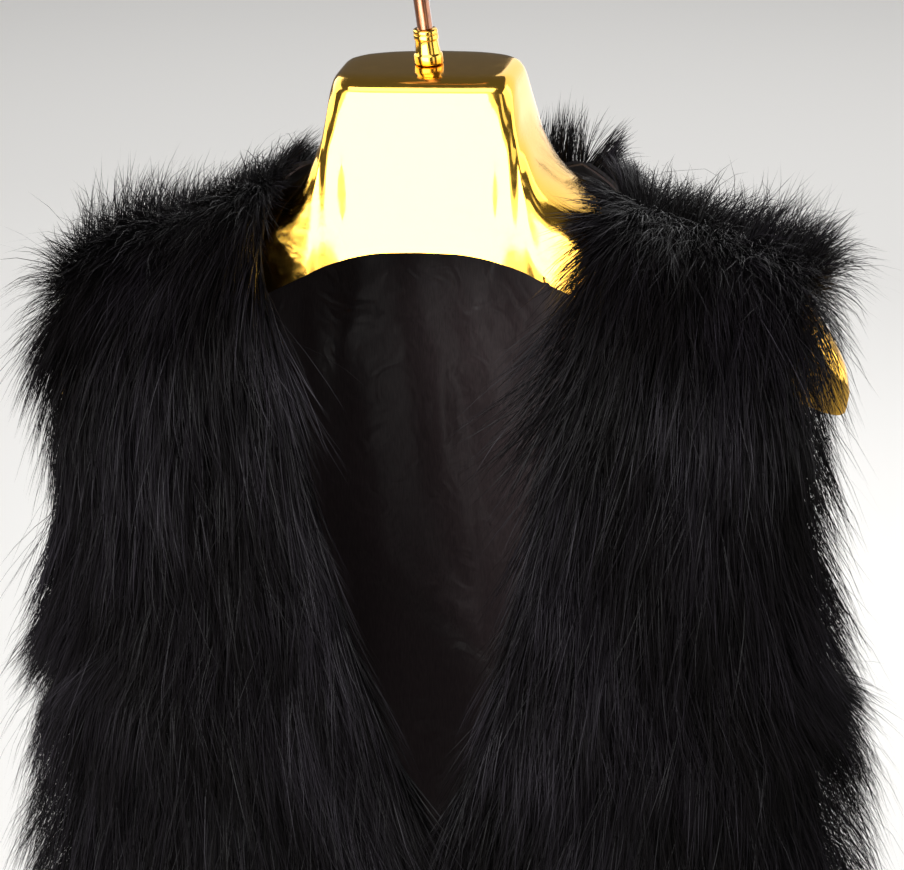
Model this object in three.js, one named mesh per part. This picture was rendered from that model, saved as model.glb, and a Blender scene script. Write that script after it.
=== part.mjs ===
// A sleeveless long-pile fur vest with an open V neck, hung on a moulded coat hanger.
// Millimetres, +Z up, the front of the vest faces -Y, and the origin is the inside top of the hook.
import * as THREE from 'three';

// Hook and ferrule
const rodDiameter = 7.5;
const hookInsideRadius = 20;
const hookEndAngle = -20;
const hookJoinAngle = 236;
const stemLean = 6.5;
const stemLength = 15;
const ferruleHeight = 17;
const ferruleLean = 5.5;

// Hanger body
const plateHeight = -88;
const hangerLean = 1.7;
const hangerWall = 3;
const armCurve = 8;
const halfSpan = 199.5;
const seatGap = 0.3;

// Exponent of the hanger's boxy middle section, and the ribs between which its faces turn round
const boxySection = 0.34;
const boxyFront = { until: 6.5, roundFrom: 12 };
const boxyBack = { until: 3.5, roundFrom: 7 };

// Vest, measured on the backing cloth that carries the pile
const hemHeight = -752;
const shoulderRoll = 48;
const frontDepth = 66;
const backDepth = 62;
const sectionSquareness = 3;
const centreFront = 9;
const neckHalf = 82;
const seatStart = 68;
const neckLift = 5;
const neckLiftReach = 50;
const shoulderTip = 180;
const napeAngle = 55;
const pileDepth = 27;
const pileEdgeShare = 0.72;
const neckOverhang = 13;
const hemOverhang = 22;
const seamHalfGap = 0.15;
const frontHalfGap = 0.2;
const fluteDepth = 4;
const flutePitch = 104;

// Shares of a panel over which its rows roll over the shoulder, and over which its pile turns to an edge
const rollShare = 0.24;
const armholeShare = 0.35;
const neckShare = 0.3;
const closureShare = 0.1;
const napeShare = 0.12;
const hemShare = 0.06;

// Back lining
const liningWall = 1.3;
const liningGap = 0.3;
const liningHemRise = 16;

// One half of the hanger, a row for each rib from the middle to the tip.
// A rib starts on the ridge and ends on the open lower edge. Drops are below the top plate, and
// ease is how soon the front face comes forward on the way down, 1 for an even slope.
const ribColumns = [
  'ridgeX', 'ridgeDrop', 'edgeX', 'edgeDrop', 'roll', 'frontTop', 'front', 'ease', 'backTop', 'back',
];
const ribRows = [
  [0, 0, 0, 80, 6.5, 29, 45, 1, 31, 37],
  [18, 0, 18, 80.6, 6.5, 29, 45, 1, 29.5, 37],
  [32, 0, 32, 83, 6.5, 28.2, 44.5, 1, 24.5, 36.5],
  [39.5, 0.4, 40, 85.5, 6.5, 24.5, 44, 1.7, 18, 36],
  [44, 3.5, 45.5, 87.5, 9, 19, 43.5, 2.4, 14, 35.5],
  [45.8, 12, 51, 90, 20, 22, 43, 2.4, 18, 35],
  [48, 25, 56, 92.5, 30, 31, 43.6, 2, 24, 34.5],
  [52.4, 37, 62, 95.5, 26, 36, 43.3, 1.5, 25.5, 34],
  [59, 50, 70, 99.5, 20, 38, 42.8, 1.2, 26.5, 33],
  [70, 61, 82, 105.5, 15, 38.5, 41.8, 1, 29, 32],
  [97, 75, 107, 117.5, 15, 33, 36, 1, 27.5, 30.5],
  [132, 90.5, 140, 136, 18, 25.5, 29, 1, 24, 27.5],
  [160, 104, 164, 150.5, 19, 21.5, 24.5, 1, 21, 24],
  [178, 116, 178, 159, 17, 17.5, 20.5, 1, 17.5, 20],
  [188, 127, 186.5, 164.5, 14, 13.5, 15.5, 1, 13.5, 15.5],
  [194.5, 139, 192, 168, 11, 9, 11, 1, 9, 11],
  [198.3, 150, 195.5, 169.5, 8, 5.5, 7, 1, 5.5, 7],
  [halfSpan, 160, 197.5, 169.8, 4, 2.4, 3, 1, 2.4, 3],
];

// Levels of the vest's sides: half widths of the cloth to the left and right of the middle.
const sideColumns = ['height', 'left', 'right'];
const sideRows = [
  [-150, 204, 204],
  [-250, 197, 197],
  [-330, 191, 189],
  [-392, 190, 182],
  [-430, 193, 184],
  [-500, 199, 191],
  [-600, 205, 199],
  [hemHeight, 211, 207],
];

// Armhole edge of the cloth, from the shoulder tip down to the underarm: its distance inside the
// side, and how far the pile reaches past it on the front and on the back.
const armholeColumns = ['height', 'inset', 'front', 'back'];
const armholeRows = [
  [-150, 20, 16, 16],
  [-205, 20, 14, 16],
  [-235, 20, 3, 17],
  [-262, 19, 8, 17],
  [-300, 17, 15, 16],
  [-345, 11, 11, 11],
  [-375, 3.5, 4, 4],
  [-392, 0, 0, 0],
  [hemHeight, 0, 0, 0],
];

// Depth of the pile over the shoulders and the nape, by distance from the middle of the neck.
const crestColumns = ['place', 'depth'];
const crestRows = [
  [0, 25],
  [40, 24],
  [68, 13],
  [92, 17],
  [125, 27],
  [160, 36],
  [210, 38],
];

// The V neck: half width between the tips of the pile, and the share of the overhang that is free.
const neckColumns = ['height', 'half', 'open'];
const neckRows = [
  [-140, 70, 1],
  [-165, 69, 1],
  [-200, 59, 1],
  [-240, 52.5, 1],
  [-292, 43.5, 1],
  [-336, 34.5, 1],
  [-381, 21.5, 1],
  [-422, 8.5, 0.9],
  [-446, 0.5, 0.6],
  [-482, 0, 0],
  [hemHeight, 0, 0],
];

// Soft folds of the hanging lining: place across the back, slant per height, width and depth.
const foldColumns = ['across', 'slant', 'width', 'depth'];
const foldRows = [
  [-104, 0.05, 18, 6],
  [-52, -0.06, 22, 7],
  [-9, -0.12, 9, 4],
  [30, -0.3, 21, 7],
  [88, 0.06, 24, 8],
  [130, -0.04, 14, 5],
];

const radians = THREE.MathUtils.degToRad;
const lerp = THREE.MathUtils.lerp;

function named(columns, rows) {
  return rows.map((row) => Object.fromEntries(columns.map((name, i) => [name, row[i]])));
}

// Value of one column at a place along the key column: a smooth curve through every row that
// never swings past them.
function along(table, key, column, place) {
  const last = table.length - 2;
  const rising = table[last + 1][key] > table[0][key] ? 1 : -1;
  const rate = (i) => {
    const from = table[THREE.MathUtils.clamp(i, 0, last)];
    const to = table[THREE.MathUtils.clamp(i, 0, last) + 1];
    return (to[column] - from[column]) / (to[key] - from[key]);
  };
  const slope = (i) => {
    const product = rate(i - 1) * rate(i);
    return product > 0 ? 2 * product / (rate(i - 1) + rate(i)) : 0;
  };
  let i = 0;
  while (i < last && rising * (place - table[i + 1][key]) > 0) i += 1;
  const span = table[i + 1][key] - table[i][key];
  const t = THREE.MathUtils.clamp((place - table[i][key]) / span, 0, 1);
  const rise = table[i + 1][column] - table[i][column];
  const a = slope(i) * span - rise;
  const b = rise - slope(i + 1) * span;
  return table[i][column] + t * rise + t * (1 - t) * (a * (1 - t) + b * t);
}

const ribs = named(ribColumns, ribRows).map((row, i) => ({ ...row, step: i }));
const sides = named(sideColumns, sideRows);
const armhole = named(armholeColumns, armholeRows);
const neck = named(neckColumns, neckRows);
const crest = named(crestColumns, crestRows);
const folds = named(foldColumns, foldRows);

// The triangles of a closed surface, all reversed where they enclose a negative volume.
function facingOut(positions, index) {
  const corner = (i) => new THREE.Vector3().fromArray(positions, 3 * index[i]);
  let volume = 0;
  for (let i = 0; i < index.length; i += 3) volume += corner(i).cross(corner(i + 1)).dot(corner(i + 2));
  return volume < 0 ? index.slice().reverse() : index;
}

// A closed wall between two grids of points, joined along its four edges.
function wall(across, down, point) {
  const positions = [];
  const index = [];
  const width = across + 1;
  const layer = width * (down + 1);
  for (let face = 0; face < 2; face += 1) {
    for (let j = 0; j <= down; j += 1) {
      for (let i = 0; i <= across; i += 1) positions.push(...point(i / across, j / down, face).toArray());
    }
  }
  const at = (i, j, face) => face * layer + j * width + i;
  const quad = (a, b, c, d) => index.push(a, b, c, a, c, d);
  for (let j = 0; j < down; j += 1) {
    for (let i = 0; i < across; i += 1) {
      quad(at(i, j, 1), at(i, j + 1, 1), at(i + 1, j + 1, 1), at(i + 1, j, 1));
      quad(at(i, j, 0), at(i + 1, j, 0), at(i + 1, j + 1, 0), at(i, j + 1, 0));
    }
    quad(at(0, j, 0), at(0, j + 1, 0), at(0, j + 1, 1), at(0, j, 1));
    quad(at(across, j, 1), at(across, j + 1, 1), at(across, j + 1, 0), at(across, j, 0));
  }
  for (let i = 0; i < across; i += 1) {
    quad(at(i, 0, 0), at(i, 0, 1), at(i + 1, 0, 1), at(i + 1, 0, 0));
    quad(at(i, down, 1), at(i, down, 0), at(i + 1, down, 0), at(i + 1, down, 1));
  }
  const geometry = new THREE.BufferGeometry();
  geometry.setAttribute('position', new THREE.Float32BufferAttribute(positions, 3));
  geometry.setIndex(facingOut(positions, index));
  geometry.computeVertexNormals();
  return geometry;
}

function solid(name, geometry, color, roughness, metalness) {
  const mesh = new THREE.Mesh(geometry, new THREE.MeshStandardMaterial({ color, roughness, metalness }));
  mesh.name = name;
  return mesh;
}

// Turns a point of the hanger about its top plate's middle, so that it hangs a little out of level.
function leaned(x, y, z) {
  const turn = radians(hangerLean);
  return new THREE.Vector3(
    x * Math.cos(turn) - z * Math.sin(turn),
    y,
    plateHeight + x * Math.sin(turn) + z * Math.cos(turn),
  );
}

// A point of the hanger body: s runs from tip to tip, t from the front edge over the ridge to the back.
function hangerPoint(s, t, inset) {
  const side = Math.sign(s - 0.5) || 1;
  const step = Math.abs(2 * s - 1) * (ribs.length - 1);
  const read = (column) => along(ribs, 'step', column, step);
  const isFront = t < 0.5;
  const angle = Math.abs(2 * t - 1) * 2;
  const edgeDrop = read('edgeDrop');
  const ridgeDrop = Math.min(read('ridgeDrop') + inset, edgeDrop - 0.6);
  const roll = Math.min(read('roll'), (edgeDrop - ridgeDrop) * 0.9);
  const turn = Math.min(angle, 1) * Math.PI / 2;
  const down = angle < 1 ? roll * (1 - Math.cos(turn)) : lerp(roll, edgeDrop - ridgeDrop, angle - 1);
  const share = down / (edgeDrop - ridgeDrop);
  const topDepth = read(isFront ? 'frontTop' : 'backTop');
  const lowDepth = read(isFront ? 'front' : 'back');
  const filled = isFront ? 1 - (1 - share) ** read('ease') : share;
  const depth = Math.max(lerp(topDepth, lowDepth, filled) - inset, 0.8);
  const boxy = isFront ? boxyFront : boxyBack;
  const square = lerp(boxySection, 1, THREE.MathUtils.smoothstep(step, boxy.until, boxy.roundFrom));
  const y = depth * Math.sin(turn) ** square;
  const x = lerp(read('ridgeX'), read('edgeX'), share);
  const reach = x * (1 - inset / halfSpan);
  return leaned(side * reach, (isFront ? -y : y) - armCurve * (x / halfSpan) ** 2, -ridgeDrop - down);
}

function hangerBody() {
  const geometry = wall(44, 12, (u, v, face) => hangerPoint(u, v, face ? 0 : hangerWall));
  return solid('hanger_body', geometry, 0xd9b23c, 0.16, 1);
}

// Height of the hanger's ridge above a place across the shoulders.
function ridgeHeight(x) {
  let drop = 0;
  let local = x;
  for (let i = 0; i < 4; i += 1) {
    local = x - drop * Math.sin(radians(hangerLean));
    const place = Math.min(Math.abs(local), halfSpan);
    drop = along(ribs, 'ridgeX', 'ridgeDrop', place);
  }
  return leaned(local, 0, -drop).z;
}

function hangerFerrule() {
  const profile = [
    [0, 0], [6.6, 0], [6.9, 1.2], [6.9, 4.2], [6.1, 5], [5.5, 12], [5.9, 12.3], [5.9, 16.6],
    [5.4, ferruleHeight], [0, ferruleHeight],
  ];
  const geometry = new THREE.LatheGeometry(profile.map(([r, z]) => new THREE.Vector2(r, z)), 18);
  geometry.rotateX(Math.PI / 2);
  const shear = new THREE.Matrix4().makeShear(0, 0, 0, 0, -Math.tan(radians(ferruleLean - hangerLean)), 0);
  geometry.applyMatrix4(shear);
  geometry.rotateY(-radians(hangerLean));
  geometry.translate(0, 0, plateHeight + seatGap);
  return solid('hanger_ferrule', geometry, 0xdcb95c, 0.2, 1);
}

// The rod stands on the ferrule, leans, bends out to the left and turns round over the top.
function hookPath() {
  const foot = plateHeight + seatGap + ferruleHeight + seatGap;
  const footX = -ferruleHeight * Math.tan(radians(ferruleLean));
  const lean = radians(stemLean);
  const start = new THREE.Vector3(footX, 0, foot);
  const knee = new THREE.Vector3(footX - stemLength * Math.sin(lean), 0, foot + stemLength * Math.cos(lean));
  const radius = hookInsideRadius + rodDiameter / 2;
  const onArc = (degrees) => new THREE.Vector3(
    radius * Math.cos(radians(degrees)), 0, radius * Math.sin(radians(degrees)) - hookInsideRadius,
  );
  const join = onArc(hookJoinAngle);
  const out = new THREE.Vector3(Math.sin(radians(hookJoinAngle)), 0, -Math.cos(radians(hookJoinAngle)));
  const path = new THREE.CurvePath();
  path.add(new THREE.LineCurve3(start, knee));
  path.add(new THREE.CubicBezierCurve3(
    knee,
    knee.clone().add(new THREE.Vector3(-6 * Math.sin(lean), 0, 6 * Math.cos(lean))),
    join.clone().addScaledVector(out, -6),
    join,
  ));
  const sweep = hookJoinAngle - hookEndAngle;
  const turns = 30;
  for (let i = 0; i < turns; i += 1) {
    const from = hookJoinAngle - sweep * i / turns;
    path.add(new THREE.LineCurve3(onArc(from), onArc(from - sweep / turns)));
  }
  return new THREE.CatmullRomCurve3(path.getSpacedPoints(60), false, 'centripetal');
}

function hangerHook() {
  const section = new THREE.Shape();
  section.absarc(0, 0, rodDiameter / 2, 0, 2 * Math.PI, false);
  const geometry = new THREE.ExtrudeGeometry(section, { steps: 40, curveSegments: 6, extrudePath: hookPath() });
  return solid('hanger_hook', geometry, 0xa36d45, 0.28, 0.6);
}

// Height of the backing cloth where it crosses over the hanger, straight across the neck opening.
// Beside the neck the cloth rides up on the hanger's flare.
function shoulderHeight(x) {
  const seat = (place) => {
    const lift = neckLift * nearEdge(Math.abs(place) - seatStart, neckLiftReach);
    return ridgeHeight(place) + seatGap + liningWall + liningGap + lift;
  };
  if (Math.abs(x) > seatStart) return seat(x);
  return lerp(seat(-seatStart), seat(seatStart), (x + seatStart) / (2 * seatStart));
}

// A point of the backing cloth. face is -1 on the front and 1 on the back, and place runs from 0 in
// the middle to 1 at the side. top is the shoulder line's height where this column starts. turn runs
// from 0 on that line to 90 degrees at the foot of the shoulder's roll, and below that the share
// runs down to the hem.
function clothPoint(face, { x, place }, top, { turn, share }) {
  const rolled = top - shoulderRoll * (1 - Math.cos(turn));
  const height = lerp(rolled, hemHeight, share);
  const depth = face < 0 ? frontDepth : backDepth;
  const flute = fluteDepth * share * Math.cos(2 * Math.PI * (x - face * 17) / flutePitch) * (1 - place ** 4);
  const bow = (1 - place ** sectionSquareness) ** (1 / sectionSquareness);
  const y = (depth * (1 + 0.1 * share) + flute) * bow * Math.sin(turn);
  return new THREE.Vector3(x, face * y, height);
}

// Splits the rows of a panel into the shoulder's roll and the fall below it.
function rowPlace(v, startTurn) {
  const turn = lerp(startTurn, Math.PI / 2, Math.min(v / rollShare, 1));
  return { turn, share: Math.max((v - rollShare) / (1 - rollShare), 0) };
}

function edgeHeight(x, v) {
  const { turn, share } = rowPlace(v, 0);
  return lerp(shoulderHeight(x) - shoulderRoll * (1 - Math.cos(turn)), hemHeight, share);
}

function sideHalf(side, height) {
  return along(sides, 'height', side < 0 ? 'left' : 'right', height);
}

// Distance of the outer edge of a panel from the middle: the armhole, then the side seam.
function outerEdge(side, height) {
  return sideHalf(side, height) - along(armhole, 'height', 'inset', height);
}

function outerHeight(side, v) {
  const tip = outerEdge(side, shoulderHeight(side * shoulderTip));
  return edgeHeight(side * tip, v);
}

// Place across, from a distance on this side of the middle to the outer edge, with the points
// closer together towards the side.
function acrossPlace(side, from, u, v) {
  const height = outerHeight(side, v);
  const half = sideHalf(side, height);
  const angle = (x) => Math.asin(THREE.MathUtils.clamp(x / half, -1, 1));
  const sine = Math.sin(lerp(angle(from), angle(outerEdge(side, height)), u));
  return { x: side * half * sine, place: Math.abs(sine) };
}

function frontAcross(side, u, v) {
  const height = edgeHeight(centreFront + side * neckHalf, v);
  const overhang = neckOverhang * along(neck, 'height', 'open', height);
  const opening = Math.max(along(neck, 'height', 'half', height) + overhang, frontHalfGap);
  return acrossPlace(side, side * centreFront + opening, u, v);
}

// The front panel from its opening edge, u = 0, to the armhole and side seam, u = 1.
function frontCloth(side, u, v) {
  const top = shoulderHeight(frontAcross(side, u, 0).x);
  return clothPoint(-1, frontAcross(side, u, v), top, rowPlace(v, 0));
}

// The back panel from the left side, u = 0, to the right side, u = 1, under a curved neckline.
function backCloth(u, v) {
  const side = u < 0.5 ? -1 : 1;
  const away = Math.abs(2 * u - 1);
  const start = acrossPlace(side, 0, away, 0).x;
  const scoop = Math.max(1 - ((start - centreFront) / neckHalf) ** 2, 0) ** 0.6;
  const row = rowPlace(v, radians(napeAngle) * scoop);
  return clothPoint(1, acrossPlace(side, 0, away, v), shoulderHeight(start), row);
}

// Unit vector out of the cloth, and the directions along it: away from the middle, and down.
function clothAxes(cloth, face, side, u, v) {
  const step = 0.002;
  const clamp = (value) => THREE.MathUtils.clamp(value, 0, 1);
  const across = cloth(clamp(u + step), v).sub(cloth(clamp(u - step), v)).normalize();
  const down = cloth(u, clamp(v + step)).sub(cloth(u, clamp(v - step))).normalize();
  const out = new THREE.Vector3().crossVectors(down, across).normalize();
  if (face * out.y + side * out.x + out.z / 2 < 0) out.negate();
  if (side * across.x < 0) across.negate();
  return { across, down, out };
}

// Weight of a free edge: 1 on the edge, fading to 0 over a share of the panel.
function nearEdge(distance, reach) {
  return 1 - THREE.MathUtils.smoothstep(distance, 0, reach);
}

function clearOf(point, face) {
  point.y = face * Math.max(face * point.y, seamHalfGap);
  return point;
}

// Depth of the pile, with slow swells so that its surface isn't even.
function pileAt(x, z, v) {
  const top = along(crest, 'place', 'depth', Math.abs(x - centreFront));
  const swell = 1.6 * Math.sin(x / 31 + z / 87) + 1.4 * Math.sin(x / 53 - z / 41 + 1);
  return lerp(top, pileDepth, THREE.MathUtils.smoothstep(v, 0.1, 0.3)) + swell * Math.min(v * 4, 1);
}

function frontPanel(side) {
  const cloth = (u, v) => frontCloth(side, u, v);
  const point = (u, v, face) => {
    const base = cloth(u, v);
    if (face) {
      const { across, down, out } = clothAxes(cloth, -1, side, u, v);
      const reach = along(armhole, 'height', 'front', base.z);
      const outer = nearEdge(1 - u, armholeShare);
      const inner = nearEdge(u, neckShare) * along(neck, 'height', 'open', base.z);
      const low = nearEdge(1 - v, hemShare);
      const thin = lerp(1, pileEdgeShare, Math.max(outer * Math.min(reach / 10, 1), inner, low));
      base.addScaledVector(out, pileAt(base.x, base.z, v) * thin);
      base.addScaledVector(across, outer * reach - inner * neckOverhang);
      base.addScaledVector(down, low * hemOverhang);
    }
    const closed = (1 - along(neck, 'height', 'open', base.z)) * nearEdge(u, closureShare);
    const away = lerp(side * (base.x - centreFront), frontHalfGap, closed);
    base.x = centreFront + side * Math.max(away, frontHalfGap);
    return clearOf(base, -1);
  };
  return wall(14, 24, point);
}

function backPanel() {
  const point = (u, v, face) => {
    const base = backCloth(u, v);
    const x = base.x;
    if (face) {
      const { across, down, out } = clothAxes(backCloth, 1, Math.sign(u - 0.5), u, v);
      const reach = along(armhole, 'height', 'back', base.z);
      const outer = nearEdge(1 - Math.abs(2 * u - 1), armholeShare);
      const nape = nearEdge(v, napeShare) * Math.max(1 - ((x - centreFront) / neckHalf) ** 4, 0);
      const low = nearEdge(1 - v, hemShare);
      const thin = lerp(1, pileEdgeShare, Math.max(outer * Math.min(reach / 10, 1), low));
      base.addScaledVector(out, pileAt(x, base.z, v) * thin);
      base.addScaledVector(across, outer * reach);
      base.addScaledVector(down, low * hemOverhang - nape * neckOverhang);
    }
    return clearOf(base, 1);
  };
  return solid('back_panel', wall(26, 24, point), 0x18161a, 0.8, 0);
}

// Inward depth of the lining's soft folds, fading out towards its seams.
function foldDepth(x, z, u, v) {
  const fade = Math.min(6 * u, 6 * (1 - u), 1) * THREE.MathUtils.smoothstep(v, 0.16, 0.34);
  const sum = folds.reduce((depth, fold) => {
    const centre = fold.across + fold.slant * (z + 300);
    return depth + fold.depth * Math.exp(-(((x - centre) / fold.width) ** 2));
  }, 0);
  return sum * fade;
}

function backLining() {
  const lowest = 1 - liningHemRise / (shoulderHeight(neckHalf) - hemHeight);
  const point = (u, row, face) => {
    const v = Math.min(row, lowest);
    const base = backCloth(u, v);
    const { out } = clothAxes(backCloth, 1, Math.sign(u - 0.5), u, v);
    const inward = liningGap + (face ? 0 : liningWall) + foldDepth(base.x, base.z, u, v);
    return clearOf(base.addScaledVector(out, -inward), 1);
  };
  return solid('lining_back', wall(26, 24, point), 0x2b2426, 0.45, 0);
}

const vest = new THREE.Group();
vest.add(hangerHook(), hangerFerrule(), hangerBody());
vest.add(backPanel(), backLining());
vest.add(solid('front_left', frontPanel(1), 0x18161a, 0.8, 0));
vest.add(solid('front_right', frontPanel(-1), 0x18161a, 0.8, 0));

export default vest;
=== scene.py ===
"""The looks of a long-pile faux fur vest that hangs on a gold plated coat hanger.

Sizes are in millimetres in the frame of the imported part: +Z up, the front of the vest faces -Y,
and the origin is the inside top of the hook. Meshes are written in metres.
"""

from __future__ import annotations

import logging
import math
from dataclasses import dataclass, field
from enum import Enum
from typing import Callable

import bpy
import numpy as np
from mathutils import Matrix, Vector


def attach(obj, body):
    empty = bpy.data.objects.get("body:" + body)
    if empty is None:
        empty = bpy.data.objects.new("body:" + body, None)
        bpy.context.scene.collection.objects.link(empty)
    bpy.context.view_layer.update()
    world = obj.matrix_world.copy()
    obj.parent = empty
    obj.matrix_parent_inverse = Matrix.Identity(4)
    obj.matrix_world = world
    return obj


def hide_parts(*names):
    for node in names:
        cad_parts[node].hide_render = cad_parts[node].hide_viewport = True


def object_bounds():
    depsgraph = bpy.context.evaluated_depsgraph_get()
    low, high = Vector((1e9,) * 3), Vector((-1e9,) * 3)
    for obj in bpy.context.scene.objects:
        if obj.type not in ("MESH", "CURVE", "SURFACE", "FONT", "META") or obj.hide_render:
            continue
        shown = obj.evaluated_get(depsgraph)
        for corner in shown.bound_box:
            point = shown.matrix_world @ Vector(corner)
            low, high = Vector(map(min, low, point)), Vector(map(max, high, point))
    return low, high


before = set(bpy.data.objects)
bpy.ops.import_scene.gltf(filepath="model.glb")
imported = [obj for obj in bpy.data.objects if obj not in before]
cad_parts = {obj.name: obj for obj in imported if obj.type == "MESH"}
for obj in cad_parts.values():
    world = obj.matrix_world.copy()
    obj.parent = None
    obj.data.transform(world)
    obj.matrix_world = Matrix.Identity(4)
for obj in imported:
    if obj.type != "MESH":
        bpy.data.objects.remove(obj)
CAD_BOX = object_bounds()

MM = 0.001
# The strands' map, which holds a tone across and the place from root to tip upward.
STRAND_UV = "OFBake"
# Edges that turn further than this many degrees are drawn sharp.
SHARP_FROM = 50.0
# How far loose strands may stand out of the CAD box: a share of each side and some millimetres,
# with a last stretch over which they are bent back softly.
PROUD_SHARE = 0.03
PROUD = 8.5
PROUD_SOFT = 12.0
# What the lamps for the hanger point at, in metres.
HANGER_MIDDLE = (0.0, 0.0, -0.12)
LOG = logging.getLogger("fur_vest")

Surface = Callable[[np.ndarray, np.ndarray], np.ndarray]
Placing = Callable[[np.ndarray], np.ndarray]
Grown = tuple[np.ndarray, np.ndarray, np.ndarray, np.ndarray]


def linear(hex_colour: str) -> tuple[float, float, float, float]:
    """Turns an sRGB hex colour into a linear one.

    Args:
        hex_colour: Six hex digits after a hash sign.

    Returns:
        Red, green, blue and an alpha of one.
    """
    parts = [int(hex_colour[i : i + 2], 16) / 255 for i in (1, 3, 5)]
    low = [p / 12.92 if p <= 0.04045 else ((p + 0.055) / 1.055) ** 2.4 for p in parts]
    return (low[0], low[1], low[2], 1.0)


def unit(vectors: np.ndarray) -> np.ndarray:
    """Scales vectors to length one."""
    return vectors / np.maximum(np.linalg.norm(vectors, axis=-1, keepdims=True), 1e-9)


def smooth(value: np.ndarray | float, start: float, end: float) -> np.ndarray:
    """Eases from 0 at start to 1 at end.

    Args:
        value: Where to read the easing.
        start: The value that gives 0.
        end: The value that gives 1.

    Returns:
        The eased share.
    """
    share = np.clip((np.asarray(value, float) - start) / (end - start), 0, 1)
    return share * share * (3 - 2 * share)


def mix(low: np.ndarray | float, high: np.ndarray | float, share: np.ndarray | float) -> np.ndarray:
    """Goes from low to high by a share."""
    return np.asarray(low + (high - low) * share, float)


@dataclass(frozen=True)
class Course:
    """A size that changes smoothly from row to row and never swings past its rows.

    Attributes:
        keys: Where the rows are, rising or falling.
        values: The size at each row.
    """

    keys: tuple[float, ...]
    values: tuple[float, ...]

    def at(self, place: np.ndarray | float) -> np.ndarray:
        """Reads the size at one or many places.

        Args:
            place: Places along the keys; those past the ends read the end rows.

        Returns:
            The size at each place.
        """
        rising = 1.0 if self.keys[-1] > self.keys[0] else -1.0
        keys = np.array(self.keys) * rising
        values = np.array(self.values)
        rate = np.diff(values) / np.diff(keys)
        before, after = np.append(rate[:1], rate), np.append(rate, rate[-1:])
        product = before * after
        slope = np.where(product > 0, 2 * product / np.where(product > 0, before + after, 1), 0)
        where = np.asarray(place, float) * rising
        i = np.clip(np.searchsorted(keys, where, side="left") - 1, 0, len(keys) - 2)
        span = keys[i + 1] - keys[i]
        t = np.clip((where - keys[i]) / span, 0, 1)
        rise = values[i + 1] - values[i]
        a = slope[i] * span - rise
        b = rise - slope[i + 1] * span
        return values[i] + t * rise + t * (1 - t) * (a * (1 - t) + b * t)


@dataclass(frozen=True)
class Table:
    """Rows of sizes under named columns.

    Attributes:
        columns: The names, in the order of the rows' numbers.
        rows: The sizes, a row for each level or section.
    """

    columns: tuple[str, ...]
    rows: tuple[tuple[float, ...], ...]

    def course(self, key: str, column: str) -> Course:
        """Gives one column as a smooth course along another."""
        pick = {name: tuple(row[i] for row in self.rows) for i, name in enumerate(self.columns)}
        return Course(pick[key], pick[column])


# Sections of the hanger's body from its middle to a tip, measured from the top plate's middle.
RIBS = Table(
    (
        "step", "ridge_x", "ridge_drop", "edge_x", "edge_drop", "roll",
        "front_top", "front", "ease", "back_top", "back",
    ),
    (
        (0, 0, 0, 0, 80, 6.5, 29, 45, 1, 31, 37),
        (1, 18, 0, 18, 80.6, 6.5, 29, 45, 1, 29.5, 37),
        (2, 32, 0, 32, 83, 6.5, 28.2, 44.5, 1, 24.5, 36.5),
        (3, 39.5, 0.4, 40, 85.5, 6.5, 24.5, 44, 1.7, 18, 36),
        (4, 44, 3.5, 45.5, 87.5, 9, 19, 43.5, 2.4, 14, 35.5),
        (5, 45.8, 12, 51, 90, 20, 22, 43, 2.4, 18, 35),
        (6, 48, 25, 56, 92.5, 30, 31, 43.6, 2, 24, 34.5),
        (7, 52.4, 37, 62, 95.5, 26, 36, 43.3, 1.5, 25.5, 34),
        (8, 59, 50, 70, 99.5, 20, 38, 42.8, 1.2, 26.5, 33),
        (9, 70, 61, 82, 105.5, 15, 38.5, 41.8, 1, 29, 32),
        (10, 97, 75, 107, 117.5, 15, 33, 36, 1, 27.5, 30.5),
        (11, 132, 90.5, 140, 136, 18, 25.5, 29, 1, 24, 27.5),
        (12, 160, 104, 164, 150.5, 19, 21.5, 24.5, 1, 21, 24),
        (13, 178, 116, 178, 159, 17, 17.5, 20.5, 1, 17.5, 20),
        (14, 188, 127, 186.5, 164.5, 14, 13.5, 15.5, 1, 13.5, 15.5),
        (15, 194.5, 139, 192, 168, 11, 9, 11, 1, 9, 11),
        (16, 198.3, 150, 195.5, 169.5, 8, 5.5, 7, 1, 5.5, 7),
        (17, 199.5, 160, 197.5, 169.8, 4, 2.4, 3, 1, 2.4, 3),
    ),
)
# Half widths of the body on the left and on the right of the picture.
SIDES = Table(
    ("height", "left", "right"),
    (
        (-150, 204, 204),
        (-250, 197, 197),
        (-330, 191, 189),
        (-392, 190, 182),
        (-430, 193, 184),
        (-500, 199, 191),
        (-600, 205, 199),
        (-752, 211, 207),
    ),
)
# How far the armholes are cut in from these widths.
ARMHOLE = Table(
    ("height", "inset"),
    (
        (-150, 20), (-205, 20), (-235, 20), (-262, 19), (-300, 17),
        (-345, 11), (-375, 3.5), (-392, 0), (-752, 0),
    ),
)
# The V neck: its half width, and how much of the pile's overhang it has.
NECK = Table(
    ("height", "half", "open"),
    (
        (-140, 70, 1),
        (-165, 69, 1),
        (-200, 59, 1),
        (-240, 52.5, 1),
        (-292, 43.5, 1),
        (-336, 34.5, 1),
        (-381, 21.5, 1),
        (-422, 8.5, 0.9),
        (-446, 0.5, 0.6),
        (-482, 0, 0),
        (-752, 0, 0),
    ),
)
# Depth of the pile along the shoulder line, by the distance from the centre front.
CREST = Table(
    ("place", "depth"),
    ((0, 25), (40, 24), (68, 13), (92, 17), (125, 27), (160, 36), (210, 38)),
)
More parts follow.
